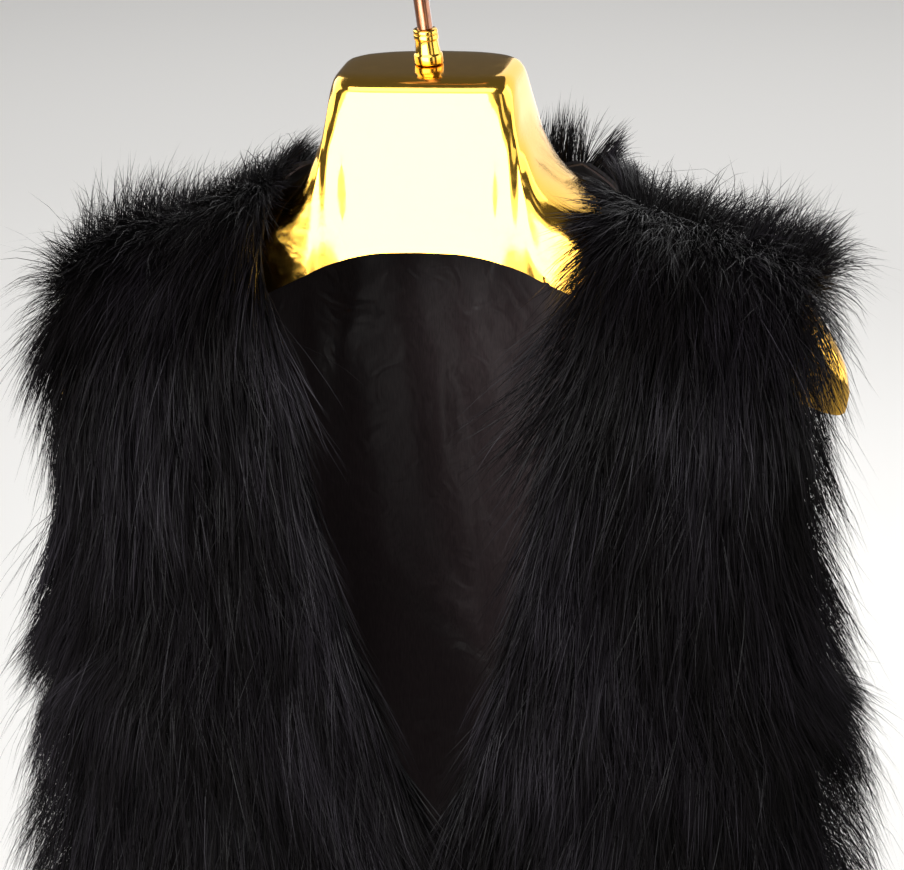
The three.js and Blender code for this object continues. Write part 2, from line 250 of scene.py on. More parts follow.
# The long hanging folds of the lining.
LINING_FOLDS = Table(
    ("across", "slant", "width", "depth"),
    (
        (-104, 0.05, 18, 6),
        (-52, -0.06, 22, 7),
        (-9, -0.12, 9, 4),
        (30, -0.3, 21, 7),
        (88, 0.06, 24, 8),
        (130, -0.04, 14, 5),
    ),
)
# The short creases between them, each leaning by so many degrees.
LINING_CREASES = Table(
    ("across", "height", "lean", "reach", "width", "depth"),
    (
        (-13, -300, 4, 45, 5, 2.4),
        (-4, -262, -28, 16, 5, 2.0),
        (-23, -236, 52, 12, 4.5, 1.8),
        (-8, -228, -48, 11, 4.5, 1.7),
        (7, -240, 30, 12, 4.5, 1.8),
        (21, -226, -64, 14, 5, 1.6),
        (14, -330, -8, 34, 6, 2.0),
        (38, -300, 14, 40, 8, 2.4),
        (-16, -400, -42, 52, 9, 5.0),
        (12, -422, -38, 40, 7, 3.0),
        (-60, -250, 20, 26, 7, 2.2),
        (62, -250, -24, 24, 6, 2.2),
        (-110, -420, 12, 60, 10, 3.0),
        (96, -480, -10, 70, 10, 3.2),
        (-40, -560, 16, 60, 9, 3.0),
        (44, -610, -20, 50, 9, 2.6),
    ),
)


# The ferrule's turned outline, from its foot to just under its top's middle.
FERRULE = Table(
    ("radius", "height"),
    (
        (0, 0), (6.3, 0), (6.75, 0.25), (6.9, 0.8), (6.9, 4.3), (6.7, 4.9), (6.15, 5.2), (6.0, 5.5),
        (5.65, 8.5), (5.45, 11.6), (5.5, 11.9), (5.85, 12.1), (5.9, 12.4), (5.9, 14.2), (5.75, 14.5),
        (5.5, 14.6), (5.5, 14.9), (5.8, 15.05), (5.85, 15.4), (5.8, 16.3), (5.6, 16.7), (5.1, 17.0),
    ),
)


def mesh_piece(name: str, points: np.ndarray, faces: list[np.ndarray]) -> bpy.types.Object:
    """Makes a smooth mesh object from points and groups of faces.

    Args:
        name: The object's name.
        points: Corner points in millimetres, one row each.
        faces: Arrays of corner numbers; the rows of one array have one length.

    Returns:
        The object, linked to the scene.
    """
    mesh = bpy.data.meshes.new(name)
    mesh.vertices.add(len(points))
    mesh.vertices.foreach_set("co", (points * MM).astype(np.float32).ravel())
    corners = np.concatenate([group.ravel() for group in faces]).astype(np.int32)
    sizes = np.concatenate([np.full(len(group), group.shape[1]) for group in faces])
    mesh.loops.add(len(corners))
    mesh.loops.foreach_set("vertex_index", corners)
    mesh.polygons.add(len(sizes))
    starts = np.concatenate([[0], np.cumsum(sizes)[:-1]]).astype(np.int32)
    mesh.polygons.foreach_set("loop_start", starts)
    mesh.polygons.foreach_set("use_smooth", np.ones(len(sizes), bool))
    mesh.update(calc_edges=True)
    mesh.set_sharp_from_angle(angle=math.radians(SHARP_FROM))
    piece = bpy.data.objects.new(name, mesh)
    bpy.context.scene.collection.objects.link(piece)
    return piece


def shell_piece(name: str, outer: np.ndarray, inner: np.ndarray) -> bpy.types.Object:
    """Joins two grids of points along their four edges into one closed thin shell.

    Args:
        name: The object's name.
        outer: Points of the outer face, rows by columns by 3.
        inner: Points of the inner face, of the same shape.

    Returns:
        The closed shell, faces outward.
    """
    rows, columns = outer.shape[:2]
    ids = np.arange(2 * rows * columns).reshape(2, rows, columns)
    top, under = ids
    quads = [
        np.stack([top[:-1, :-1], top[1:, :-1], top[1:, 1:], top[:-1, 1:]], -1).reshape(-1, 4),
        np.stack([under[:-1, :-1], under[:-1, 1:], under[1:, 1:], under[1:, :-1]], -1).reshape(-1, 4),
    ]
    rim = np.concatenate([top[0, :-1], top[:-1, -1], top[-1, :0:-1], top[:0:-1, 0]])
    following = np.roll(rim, -1)
    depth = rows * columns
    quads.append(np.stack([rim, following, following + depth, rim + depth], -1))
    faces = np.concatenate(quads)
    points = np.concatenate([outer.reshape(-1, 3), inner.reshape(-1, 3)])
    a, b, c, d = (points[faces[:, i]] for i in range(4))
    volume = (np.cross(b - a, c - a) * a + np.cross(c - a, d - a) * a).sum()
    if volume < 0:
        faces = faces[:, ::-1]
    return mesh_piece(name, points, [faces])


def turned_piece(name: str, profile: np.ndarray, around: int, place: Placing) -> bpy.types.Object:
    """Turns a profile round the vertical axis and sets it in place.

    Args:
        name: The object's name.
        profile: Radius and height of each point, from the foot's middle to the top's middle.
        around: How many steps the turn has.
        place: Moves an array of points from the lathe to where the piece stands.

    Returns:
        The turned piece.
    """
    angles = np.arange(around) * 2 * math.pi / around
    radius, height = profile[1:-1, 0], profile[1:-1, 1]
    ring = np.stack(
        [
            radius[:, None] * np.cos(angles),
            radius[:, None] * np.sin(angles),
            np.broadcast_to(height[:, None], (len(radius), around)),
        ],
        -1,
    ).reshape(-1, 3)
    ends = np.array([[0, 0, profile[0, 1]], [0, 0, profile[-1, 1]]])
    ids = np.arange(len(radius) * around).reshape(len(radius), around)
    after = np.roll(ids, -1, axis=1)
    sides = np.stack([ids[:-1], after[:-1], after[1:], ids[1:]], -1).reshape(-1, 4)
    foot = np.stack([after[0], ids[0], np.full(around, len(ring))], -1)
    top = np.stack([ids[-1], after[-1], np.full(around, len(ring) + 1)], -1)
    return mesh_piece(name, place(np.concatenate([ring, ends])), [sides, foot, top])


def rod_piece(name: str, path: np.ndarray, radii: np.ndarray, around: int) -> bpy.types.Object:
    """Makes a round rod along a flat path that stands in the X-Z plane.

    Args:
        name: The object's name.
        path: Points of the centreline.
        radii: The rod's radius at each point.
        around: How many sides the section has.

    Returns:
        The closed rod.
    """
    along = unit(np.gradient(path, axis=0))
    side = np.array([0.0, 1.0, 0.0])
    across = unit(np.cross(along, side))
    angles = np.arange(around) * 2 * math.pi / around
    rings = path[:, None] + radii[:, None, None] * (
        across[:, None] * np.cos(angles)[None, :, None] + side * np.sin(angles)[None, :, None]
    )
    count = len(path)
    ids = np.arange(count * around).reshape(count, around)
    after = np.roll(ids, -1, axis=1)
    sides = np.stack([ids[:-1], ids[1:], after[1:], after[:-1]], -1).reshape(-1, 4)
    foot = np.stack([ids[0], after[0], np.full(around, count * around)], -1)
    top = np.stack([after[-1], ids[-1], np.full(around, count * around + 1)], -1)
    points = np.concatenate([rings.reshape(-1, 3), path[:1], path[-1:]])
    return mesh_piece(name, points, [sides, foot, top])


class MaterialTree:
    """The node tree of one material, with its principled shader."""

    def __init__(self, name: str, **sockets: object) -> None:
        """Starts a material.

        Args:
            name: The material's name.
            **sockets: Values for the shader's own sockets, underscores standing for spaces.
        """
        self.material = bpy.data.materials.new(name)
        self.material.use_nodes = True
        self.tree = self.material.node_tree
        self.shader = self.tree.nodes["Principled BSDF"]
        for socket, value in sockets.items():
            self.shader.inputs[socket.replace("_", " ")].default_value = value

    def add(
        self, kind: str, settings: dict[str, object], links: dict[str, bpy.types.NodeSocket]
    ) -> bpy.types.Node:
        """Adds a node with its settings and links.

        Args:
            kind: Blender's name of the node's kind.
            settings: Values by the name of the node's property or input.
            links: The sockets that feed the node's inputs, by input name.

        Returns:
            The new node.
        """
        node = self.tree.nodes.new(kind)
        for name, value in settings.items():
            if name in node.inputs:
                node.inputs[name].default_value = value
            elif name == "stops":
                ramp = node.color_ramp
                for place, colour in value[len(ramp.elements) :]:
                    ramp.elements.new(place)
                for element, (place, colour) in zip(ramp.elements, sorted(value)):
                    element.position, element.color = place, colour
            else:
                setattr(node, name, value)
        for name, socket in links.items():
            self.tree.links.new(socket, node.inputs[name])
        return node

    def feed(self, socket: str, source: bpy.types.NodeSocket) -> None:
        """Links a node's output to one of the shader's inputs."""
        self.tree.links.new(source, self.shader.inputs[socket])


def grey(value: float) -> tuple[float, float, float, float]:
    """Gives a neutral linear colour."""
    return (value, value, value, 1.0)


@dataclass(frozen=True)
class GoldPlating:
    """Vacuum gold plating on moulded ABS: a mirror with the soft ripple of the moulding under it.

    Attributes:
        colour: The metal's own colour.
        ripple_mm: Size of the moulding's waves, which bend the reflections a little.
        scuff_mm: Size of the handling marks, which dull patches of the mirror.
    """

    colour: str = "#e3b048"
    ripple_mm: float = 14.0
    scuff_mm: float = 5.0

    def material(self) -> bpy.types.Material:
        """Builds the material."""
        tree = MaterialTree("gold_plated_abs", Base_Color=linear(self.colour), Metallic=1.0)
        where = tree.add("ShaderNodeTexCoord", {}, {})
        ripple = tree.add(
            "ShaderNodeTexNoise",
            {"Scale": 1 / (self.ripple_mm * MM), "Detail": 2.0, "Roughness": 0.4},
            {"Vector": where.outputs["Object"]},
        )
        scuff = tree.add(
            "ShaderNodeTexNoise",
            {"Scale": 1 / (self.scuff_mm * MM), "Detail": 6.0, "Roughness": 0.6},
            {"Vector": where.outputs["Object"]},
        )
        dull = tree.add(
            "ShaderNodeMapRange",
            {"From Min": 0.35, "From Max": 0.75, "To Min": 0.07, "To Max": 0.2},
            {"Value": scuff.outputs["Fac"]},
        )
        bump = tree.add(
            "ShaderNodeBump",
            {"Strength": 0.12, "Distance": 0.4 * MM},
            {"Height": ripple.outputs["Fac"]},
        )
        tree.feed("Roughness", dull.outputs["Result"])
        tree.feed("Normal", bump.outputs["Normal"])
        return tree.material


@dataclass(frozen=True)
class CopperRod:
    """Copper washed steel rod in a clear drawn sleeve: warm metal under a wet looking coat.

    Attributes:
        bright: Colour of the rod where it is clean.
        tarnished: Colour of the streaks that drawing leaves along it.
        streak_mm: Width of a streak.
    """

    bright: str = "#965c34"
    tarnished: str = "#6a3c22"
    streak_mm: float = 1.2

    def material(self) -> bpy.types.Material:
        """Builds the material."""
        tree = MaterialTree(
            "sleeved_copper_rod", Metallic=1.0, Roughness=0.32, Coat_Weight=1.0, Coat_Roughness=0.08
        )
        where = tree.add("ShaderNodeTexCoord", {}, {})
        stretch = tree.add(
            "ShaderNodeMapping",
            {"Scale": (1.0, 1.0, 0.12)},
            {"Vector": where.outputs["Object"]},
        )
        streaks = tree.add(
            "ShaderNodeTexNoise",
            {"Scale": 1 / (self.streak_mm * MM), "Detail": 3.0},
            {"Vector": stretch.outputs["Vector"]},
        )
        colour = tree.add(
            "ShaderNodeValToRGB",
            {"stops": [(0.35, linear(self.tarnished)), (0.62, linear(self.bright))]},
            {"Fac": streaks.outputs["Fac"]},
        )
        tree.feed("Base Color", colour.outputs["Color"])
        return tree.material


@dataclass(frozen=True)
class LiningSatin:
    """Woven polyester satin: smooth floats that run down the cloth and give a soft upright sheen.

    Attributes:
        colour: The dyed yarn.
        painted_float_sheen: Painted sheen: the yarn's colour where the floats are drawn as if they catch more
            light.
        float_mm: Width of a float; the real one is 0.2 mm, drawn coarser so that it shows.
        float_length: How many times longer than wide a float is.
        crumple_mm: Size of the soft crumples between the folds.
    """

    colour: str = "#261f20"
    # Painted sheen on the floats of the satin.
    painted_float_sheen: str = "#362d2e"
    float_mm: float = 0.6
    float_length: float = 9.0
    crumple_mm: float = 17.0

    def material(self) -> bpy.types.Material:
        """Builds the material."""
        tree = MaterialTree(
            "polyester_satin", Roughness=0.4, Specular_IOR_Level=0.3, Sheen_Weight=0.05, Sheen_Roughness=0.4
        )
        where = tree.add("ShaderNodeTexCoord", {}, {})
        stretch = tree.add(
            "ShaderNodeMapping",
            {"Scale": (1.0, 1.0, 1 / self.float_length)},
            {"Vector": where.outputs["Object"]},
        )
        floats = tree.add(
            "ShaderNodeTexNoise",
            {"Scale": 1 / (self.float_mm * MM), "Detail": 2.0},
            {"Vector": stretch.outputs["Vector"]},
        )
        # The floats' pattern is the weave; its lighter colour is painted sheen where they would catch the
        # light.
        colour = tree.add(
            "ShaderNodeValToRGB",
            {"stops": [(0.3, linear(self.colour)), (0.7, linear(self.painted_float_sheen))]},
            {"Fac": floats.outputs["Fac"]},
        )
        crumple = tree.add(
            "ShaderNodeTexNoise",
            {"Scale": 1 / (self.crumple_mm * MM), "Detail": 1.5, "Roughness": 0.45, "Distortion": 1.4},
            {"Vector": where.outputs["Object"]},
        )
        soft = tree.add(
            "ShaderNodeBump",
            {"Strength": 0.5, "Distance": 2.2 * MM},
            {"Height": crumple.outputs["Fac"]},
        )
        bump = tree.add(
            "ShaderNodeBump",
            {"Strength": 0.35, "Distance": 0.08 * MM},
            {"Height": floats.outputs["Fac"], "Normal": soft.outputs["Normal"]},
        )
        tree.feed("Base Color", colour.outputs["Color"])
        tree.feed("Normal", bump.outputs["Normal"])
        return tree.material


@dataclass(frozen=True)
class PileBacking:
    """Knitted polyester backing of the fur: matt and black, with fine ribs that run down the cloth.

    Attributes:
        colour: The knit's colour between the ribs, painted darker there as their shade.
        painted_rib_light: Its colour on the ribs, painted lighter where they stand up to the light.
        rib_mm: Spacing of the ribs.
    """

    colour: str = "#0d0c0e"
    painted_rib_light: str = "#17151a"
    rib_mm: float = 1.4

    def material(self) -> bpy.types.Material:
        """Builds the material."""
        tree = MaterialTree("knitted_backing", Roughness=0.85, Specular_IOR_Level=0.3)
        where = tree.add("ShaderNodeTexCoord", {}, {})
        ribs = tree.add(
            "ShaderNodeTexWave",
            {"Scale": 1 / (self.rib_mm * MM) / 20 * math.pi, "Distortion": 1.5, "Detail": 2.0},
            {"Vector": where.outputs["Object"]},
        )
        # Painted light and shade: the ribs drawn lighter on top and darker between them.
        colour = tree.add(
            "ShaderNodeValToRGB",
            {"stops": [(0.2, linear(self.colour)), (0.9, linear(self.painted_rib_light))]},
            {"Fac": ribs.outputs["Fac"]},
        )
        bump = tree.add(
            "ShaderNodeBump",
            {"Strength": 0.4, "Distance": 0.3 * MM},
            {"Height": ribs.outputs["Fac"]},
        )
        tree.feed("Base Color", colour.outputs["Color"])
        tree.feed("Normal", bump.outputs["Normal"])
        return tree.material


@dataclass(frozen=True)
class PileFibre:
    """Combed modacrylic pile: silky near-black fibres, with blue grey painted on a few strands as their
    highlights.

    The strand map reads a tone across and the place from root to tip along each strand.

    Attributes:
        dark: Colour of most strands.
        middle: Colour of the lighter locks.
        light: Painted highlight: colour of the few strands drawn as if they catch the light.
        root_shade: Painted shade: how much darker the roots are drawn, where the dense pile shades them.
    """

    dark: str = "#080606"
    middle: str = "#131014"
    light: str = "#28252a"
    root_shade: float = 0.35

    def material(self) -> bpy.types.Material:
        """Builds the material."""
        tree = MaterialTree("modacrylic_pile", Roughness=0.44, IOR=1.5, Specular_IOR_Level=0.09)
        strand = tree.add("ShaderNodeUVMap", {"uv_map": STRAND_UV}, {})
        parts = tree.add("ShaderNodeSeparateXYZ", {}, {"Vector": strand.outputs["UV"]})
        # The tone goes from dark to middle at random; its light end is painted highlight on a few strands.
        tone = tree.add(
            "ShaderNodeValToRGB",
            {"stops": [(0.35, linear(self.dark)), (0.8, linear(self.middle)), (1.0, linear(self.light))]},
            {"Fac": parts.outputs["X"]},
        )
        # Painted shade: roots drawn darker towards the backing, where the dense pile would shade them.
        shade = tree.add(
            "ShaderNodeValToRGB",
            {"stops": [(0.1, grey(self.root_shade)), (0.7, grey(1.0))]},
            {"Fac": parts.outputs["Y"]},
        )
        colour = tree.add("ShaderNodeMix", {"data_type": "RGBA", "blend_type": "MULTIPLY"}, {})
        colour.inputs["Factor"].default_value = 1.0
        tree.tree.links.new(tone.outputs["Color"], colour.inputs[6])
        tree.tree.links.new(shade.outputs["Color"], colour.inputs[7])
        tree.feed("Base Color", colour.outputs[2])
        return tree.material


@dataclass(frozen=True)
class StudioPaper:
    """Matt pale studio paper: an even ground with a faint tooth.

    Attributes:
        colour: The paper's colour.
        tooth_mm: Size of the paper's grain.
    """

    colour: str = "#f1efec"
    tooth_mm: float = 3.0

    def material(self) -> bpy.types.Material:
        """Builds the material."""
        tree = MaterialTree("studio_paper", Base_Color=linear(self.colour), Roughness=0.9)
        where = tree.add("ShaderNodeTexCoord", {}, {})
        tooth = tree.add(
            "ShaderNodeTexNoise",
            {"Scale": 1 / (self.tooth_mm * MM), "Detail": 2.0},
            {"Vector": where.outputs["Object"]},
        )
        bump = tree.add(
            "ShaderNodeBump",
            {"Strength": 0.1, "Distance": 0.2 * MM},
            {"Height": tooth.outputs["Fac"]},
        )
        tree.feed("Normal", bump.outputs["Normal"])
        return tree.material


def dress(piece: bpy.types.Object, material: bpy.types.Material) -> None:
    """Gives a piece its finish and its ride on the part's one body."""
    piece.data.materials.append(material)
    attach(piece, "root")


@dataclass(frozen=True)
class CoatHanger:
    """The moulded hanger: a hollow plated body with wide shoulders, a ferrule and a round hook.

    Attributes:
        plate_height: Height of the top plate.
        lean: How far the hanger hangs out of level, in degrees.
        wall: Thickness of the moulding.
        arm_curve: How far the arms' tips curve forward.
        half_span: Half the hanger's width.
        rod_diameter: Diameter of the hook's sleeve.
        hook_radius: Inside radius of the hook.
        stem_lean: Lean of the hook's stem, in degrees.
        ferrule_lean: Lean of the ferrule, in degrees.
        ferrule_height: Height of the ferrule.
        seat_gap: Gap between pieces that touch.
        boxiness: Exponent that makes the flare's sections boxy; 1 is round.
        boxy_front: Steps of the ribs between which the front turns from boxy to round.
        boxy_back: The same on the back.
        least_edge: Least height of a section.
        least_depth: Least depth of a section.
        roll_limit: Most of a section's height that its rolled top may take.
        stem_straight: Length of the hook's straight foot.
        bend_reach: Length of the handles of the bend between the stem and the hook's round.
        join_angle: Where the bend meets the round, in degrees.
        end_angle: Where the round ends, in degrees.
    """

    plate_height: float = -88.0
    lean: float = 1.7
    wall: float = 3.0
    arm_curve: float = 8.0
    half_span: float = 199.5
    rod_diameter: float = 7.5
    hook_radius: float = 20.0
    stem_lean: float = 6.5
    ferrule_lean: float = 5.5
    ferrule_height: float = 17.0
    seat_gap: float = 0.3
    boxiness: float = 0.34
    boxy_front: tuple[float, float] = (6.5, 12.0)
    boxy_back: tuple[float, float] = (3.5, 7.0)
    least_edge: float = 0.6
    least_depth: float = 0.8
    roll_limit: float = 0.9
    stem_straight: float = 15.0
    bend_reach: float = 6.0
    join_angle: float = 236.0
    end_angle: float = -20.0

    def leaned(self, x: np.ndarray, y: np.ndarray, z: np.ndarray) -> np.ndarray:
        """Turns points of the level hanger about its top plate's middle.

        Args:
            x: Places along the hanger.
            y: Places from front to back.
            z: Heights above the top plate.

        Returns:
            Points in the part's frame.
        """
        turn = math.radians(self.lean)
        return np.stack(
            [
                x * math.cos(turn) - z * math.sin(turn),
                y + 0 * x,
                self.plate_height + x * math.sin(turn) + z * math.cos(turn),
            ],
            -1,
        )

    def surface(self, s: np.ndarray, t: np.ndarray, inset: float) -> np.ndarray:
        """Gives points of the moulded body.

        Args:
            s: Places from tip to tip, 0 to 1.
            t: Places from the front edge over the ridge to the back edge, 0 to 1.
            inset: Depth under the outer face.

        Returns:
            The points.
        """
        side = np.where(s < 0.5, -1.0, 1.0)
        step = np.abs(2 * s - 1) * (len(RIBS.rows) - 1)
        read = {name: RIBS.course("step", name).at(step) for name in RIBS.columns[1:]}
        front = t < 0.5
        angle = np.abs(2 * t - 1) * 2
        edge = read["edge_drop"]
        ridge = np.minimum(read["ridge_drop"] + inset, edge - self.least_edge)
        roll = np.minimum(read["roll"], (edge - ridge) * self.roll_limit)
        turn = np.minimum(angle, 1) * math.pi / 2
        down = np.where(angle < 1, roll * (1 - np.cos(turn)), mix(roll, edge - ridge, angle - 1))
        share = down / (edge - ridge)
        top = np.where(front, read["front_top"], read["back_top"])
        low = np.where(front, read["front"], read["back"])
        filled = np.where(front, 1 - (1 - share) ** read["ease"], share)
        depth = np.maximum(mix(top, low, filled) - inset, self.least_depth)
        round_face = np.where(front, smooth(step, *self.boxy_front), smooth(step, *self.boxy_back))
        square = mix(self.boxiness, 1, round_face)
        y = depth * np.sin(turn) ** square
        x = mix(read["ridge_x"], read["edge_x"], share)
        reach = x * (1 - inset / self.half_span)
        curve = self.arm_curve * (x / self.half_span) ** 2
        return self.leaned(side * reach, np.where(front, -y, y) - curve, -ridge - down)

    def ridge_height(self, x: np.ndarray) -> np.ndarray:
        """Gives the height of the hanger's ridge over places across the shoulders."""
        drop = np.zeros_like(x)
        local = x
        course = RIBS.course("ridge_x", "ridge_drop")
        for _ in range(4):
            local = x - drop * math.sin(math.radians(self.lean))
            drop = course.at(np.minimum(np.abs(local), self.half_span))
        return self.leaned(local, np.zeros_like(x), -drop)[..., 2]

    def build_body(self, finish: bpy.types.Material) -> bpy.types.Object:
        """Builds the plated body, finer than its solid and of the same form."""
        s, t = np.meshgrid(np.linspace(0, 1, 145), np.linspace(0, 1, 41))
        body = shell_piece("hanger_moulding", self.surface(s, t, 0.0), self.surface(s, t, self.wall))
        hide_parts("hanger_body")
        dress(body, finish)
        return body

    def build_ferrule(self, finish: bpy.types.Material) -> bpy.types.Object:
        """Builds the turned ferrule: a flared foot, a waist, a collar and a thin bright band."""
        profile = np.array([*FERRULE.rows, (0, self.ferrule_height)])

        def place(points: np.ndarray) -> np.ndarray:
            """Stands the ferrule on the plate, leaning a little further than the hanger."""
            slide = math.tan(math.radians(self.ferrule_lean - self.lean))
            x = points[:, 0] - slide * points[:, 2]
            return self.leaned(x, points[:, 1], points[:, 2] + self.seat_gap)

        ferrule = turned_piece("hook_ferrule", profile, 64, place)
        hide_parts("hanger_ferrule")
        dress(ferrule, finish)
        return ferrule

    def hook_path(self) -> np.ndarray:
        """Gives the centreline of the hook, from its foot up the stem and round over the top."""
        foot_x = -self.ferrule_height * math.tan(math.radians(self.ferrule_lean))
        foot_z = self.plate_height + self.seat_gap + self.ferrule_height + self.seat_gap
        lean = math.radians(self.stem_lean)
        rise = np.array([-math.sin(lean), 0, math.cos(lean)])
        start = np.array([foot_x, 0, foot_z])
        knee = start + self.stem_straight * rise
        radius = self.hook_radius + self.rod_diameter / 2

        def on_arc(degrees: np.ndarray) -> np.ndarray:
            """Gives points of the hook's round."""
            turn = np.radians(degrees)
            return np.stack([radius * np.cos(turn), 0 * turn, radius * np.sin(turn) - self.hook_radius], -1)

        turned = math.radians(self.join_angle)
        join = on_arc(np.array(self.join_angle))
        out = np.array([math.sin(turned), 0, -math.cos(turned)])
        bend = [knee, knee + self.bend_reach * rise, join - self.bend_reach * out, join]
        t = np.linspace(0, 1, 14)[1:, None]
        curve = sum(
            math.comb(3, i) * (1 - t) ** (3 - i) * t**i * point for i, point in enumerate(bend)
        )
        stem = start + np.linspace(0, self.stem_straight, 9)[:, None] * rise
        return np.concatenate([stem, curve, on_arc(np.linspace(self.join_angle, self.end_angle, 90)[1:])])

    def build_hook(self, finish: bpy.types.Material) -> bpy.types.Object:
        """Builds the rod of the hook with a rounded end."""
        path = self.hook_path()
        left = np.linalg.norm(path - path[-1], axis=1) / (self.rod_diameter / 2)
        radii = self.rod_diameter / 2 * np.sqrt(np.clip(1 - (1 - np.minimum(left, 1)) ** 2, 0.02, 1))
        hook = rod_piece("hook_rod", path, radii, 32)
        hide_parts("hanger_hook")
        dress(hook, finish)
        return hook


@dataclass(frozen=True)
class VestCut:
    """The cut of the vest as it hangs: where the backing cloth of each panel lies.

    Attributes:
        hanger: The hanger that carries it.
        hem_height: Height of the hem.
        shoulder_roll: Drop over which the cloth rolls from the shoulder line to upright.
        front_depth: How far the front lies before the shoulder line.
        back_depth: How far the back lies behind it.
        squareness: Exponent of the body's section.
        centre_front: Place across where the fronts meet.
        neck_half: Half width of the neckline at the shoulders.
        seat_start: Where the cloth starts to rest on the hanger, from the middle.
        neck_lift: How far it rides up on the hanger's flare there.
        neck_lift_reach: Distance over which that lift ends.
        lining_stack: Thickness of the lining and its gaps over the ridge.
        shoulder_tip: Place across of the shoulder's end.
        nape_angle: How far over the shoulder line the nape is scooped, in degrees.
        neck_overhang: How far the pile reaches past the neck edge.
        front_gap: Half the gap between the closed fronts.
        seam_gap: Half the gap at the shoulder and side seams.
        flute_depth: Depth of the soft waves that run down the cloth.
        flute_pitch: Width of such a wave.
        flute_shift: Place across where a wave of the back stands highest; the front's is mirrored.
        hem_flare: How much deeper the body is at the hem, as a share.
        nape_shape: Exponent of the nape's scoop; smaller is squarer.
        roll_share: Share of a panel's rows on the shoulder's roll.
    """

    hanger: CoatHanger = field(default_factory=CoatHanger)
    hem_height: float = -752.0
    shoulder_roll: float = 48.0
    front_depth: float = 66.0
    back_depth: float = 62.0
    squareness: float = 3.0
    centre_front: float = 9.0
    neck_half: float = 82.0
    seat_start: float = 68.0
    neck_lift: float = 5.0
    neck_lift_reach: float = 50.0
    lining_stack: float = 1.9
    shoulder_tip: float = 180.0
    nape_angle: float = 55.0
    neck_overhang: float = 13.0
    front_gap: float = 0.2
    seam_gap: float = 0.15
    flute_depth: float = 4.0
    flute_pitch: float = 104.0
    flute_shift: float = 17.0
    hem_flare: float = 0.1
    nape_shape: float = 0.6
    roll_share: float = 0.24

    def seat(self, x: np.ndarray) -> np.ndarray:
        """Gives the shoulder line's height where it rests on the hanger."""
        lift = self.neck_lift * (1 - smooth(np.abs(x) - self.seat_start, 0, self.neck_lift_reach))
        return self.hanger.ridge_height(x) + self.lining_stack + lift

    def shoulder_height(self, x: np.ndarray) -> np.ndarray:
        """Gives the shoulder line's height, straight across the neck opening."""
        ends = self.seat(np.array([-self.seat_start, self.seat_start]))
        across = mix(ends[0], ends[1], (x + self.seat_start) / (2 * self.seat_start))
        return np.where(np.abs(x) > self.seat_start, self.seat(x), across)

    def row_place(self, v: np.ndarray, start: np.ndarray | float) -> tuple[np.ndarray, np.ndarray]:
        """Splits rows into the shoulder's roll and the fall below it.

        Args:
            v: Rows from 0 at the shoulder line to 1 at the hem.
            start: Angle over the roll at which the rows start.

        Returns:
            The angle over the roll and the share of the fall.
        """
        turn = mix(start, math.pi / 2, np.minimum(v / self.roll_share, 1))
        return turn, np.maximum((v - self.roll_share) / (1 - self.roll_share), 0)

    def edge_height(self, x: float, v: np.ndarray) -> np.ndarray:
        """Gives the height of a row at a place across."""
        turn, share = self.row_place(v, 0.0)
        top = self.shoulder_height(np.array(float(x)))
        return mix(top - self.shoulder_roll * (1 - np.cos(turn)), self.hem_height, share)

    def outer_edge(self, side: int, height: np.ndarray) -> np.ndarray:
        """Gives the distance from the middle to the armhole or side seam."""
        half = SIDES.course("height", "left" if side < 0 else "right").at(height)
        return half - ARMHOLE.course("height", "inset").at(height)

    def outer_height(self, side: int, v: np.ndarray) -> np.ndarray:
        """Gives the height of a row at the outer edge."""
        tip_top = self.shoulder_height(np.array(float(side * self.shoulder_tip)))
        return self.edge_height(side * float(self.outer_edge(side, tip_top)), v)

    def across(
        self, side: int, start: np.ndarray | float, u: np.ndarray, v: np.ndarray
    ) -> tuple[np.ndarray, np.ndarray]:
        """Places points between a start and the outer edge, closer together towards the side.

        Args:
            side: -1 for the left of the picture, 1 for its right.
            start: Distance from the middle on this side at which u is 0.
            u: Places across, 0 to 1.
            v: Rows.

        Returns:
            The place across and its share of the half width.
        """
        height = self.outer_height(side, v)
        half = SIDES.course("height", "left" if side < 0 else "right").at(height)
        first = np.arcsin(np.clip(start / half, -1, 1))
        last = np.arcsin(np.clip(self.outer_edge(side, height) / half, -1, 1))
        sine = np.sin(mix(first, last, u))
        return side * half * sine, np.abs(sine)

    def cloth_point(
        self,
        face: int,
        x: np.ndarray,
        place: np.ndarray,
        top: np.ndarray,
        turn: np.ndarray,
        share: np.ndarray,
    ) -> np.ndarray:
        """Gives points of the backing cloth.

        Args:
            face: -1 on the front and 1 on the back.
            x: Places across.
            place: Share of the half width.
            top: The shoulder line's height over each column.
            turn: Angle over the shoulder's roll.
            share: Share of the fall below it.

        Returns:
            The points.
        """
        height = mix(top - self.shoulder_roll * (1 - np.cos(turn)), self.hem_height, share)
        depth = self.front_depth if face < 0 else self.back_depth
        wave = np.cos(2 * math.pi * (x - face * self.flute_shift) / self.flute_pitch) * (1 - place**4)
        bow = np.maximum(1 - place**self.squareness, 0) ** (1 / self.squareness)
        deep = depth * (1 + self.hem_flare * share) + self.flute_depth * share * wave
        y = deep * bow * np.sin(turn)
        return np.stack([x, face * np.maximum(y, self.seam_gap), height + 0 * x], -1)

    def opening(self, side: int, v: np.ndarray) -> np.ndarray:
        """Gives the distance from the middle to a front's opening edge."""
        height = self.edge_height(self.centre_front + side * self.neck_half, v)
        overhang = self.neck_overhang * NECK.course("height", "open").at(height)
        half = np.maximum(NECK.course("height", "half").at(height) + overhang, self.front_gap)
        return side * self.centre_front + half

    def front(self, side: int) -> Surface:
        """Gives the front panel's cloth, u from its opening edge to the armhole and side seam."""

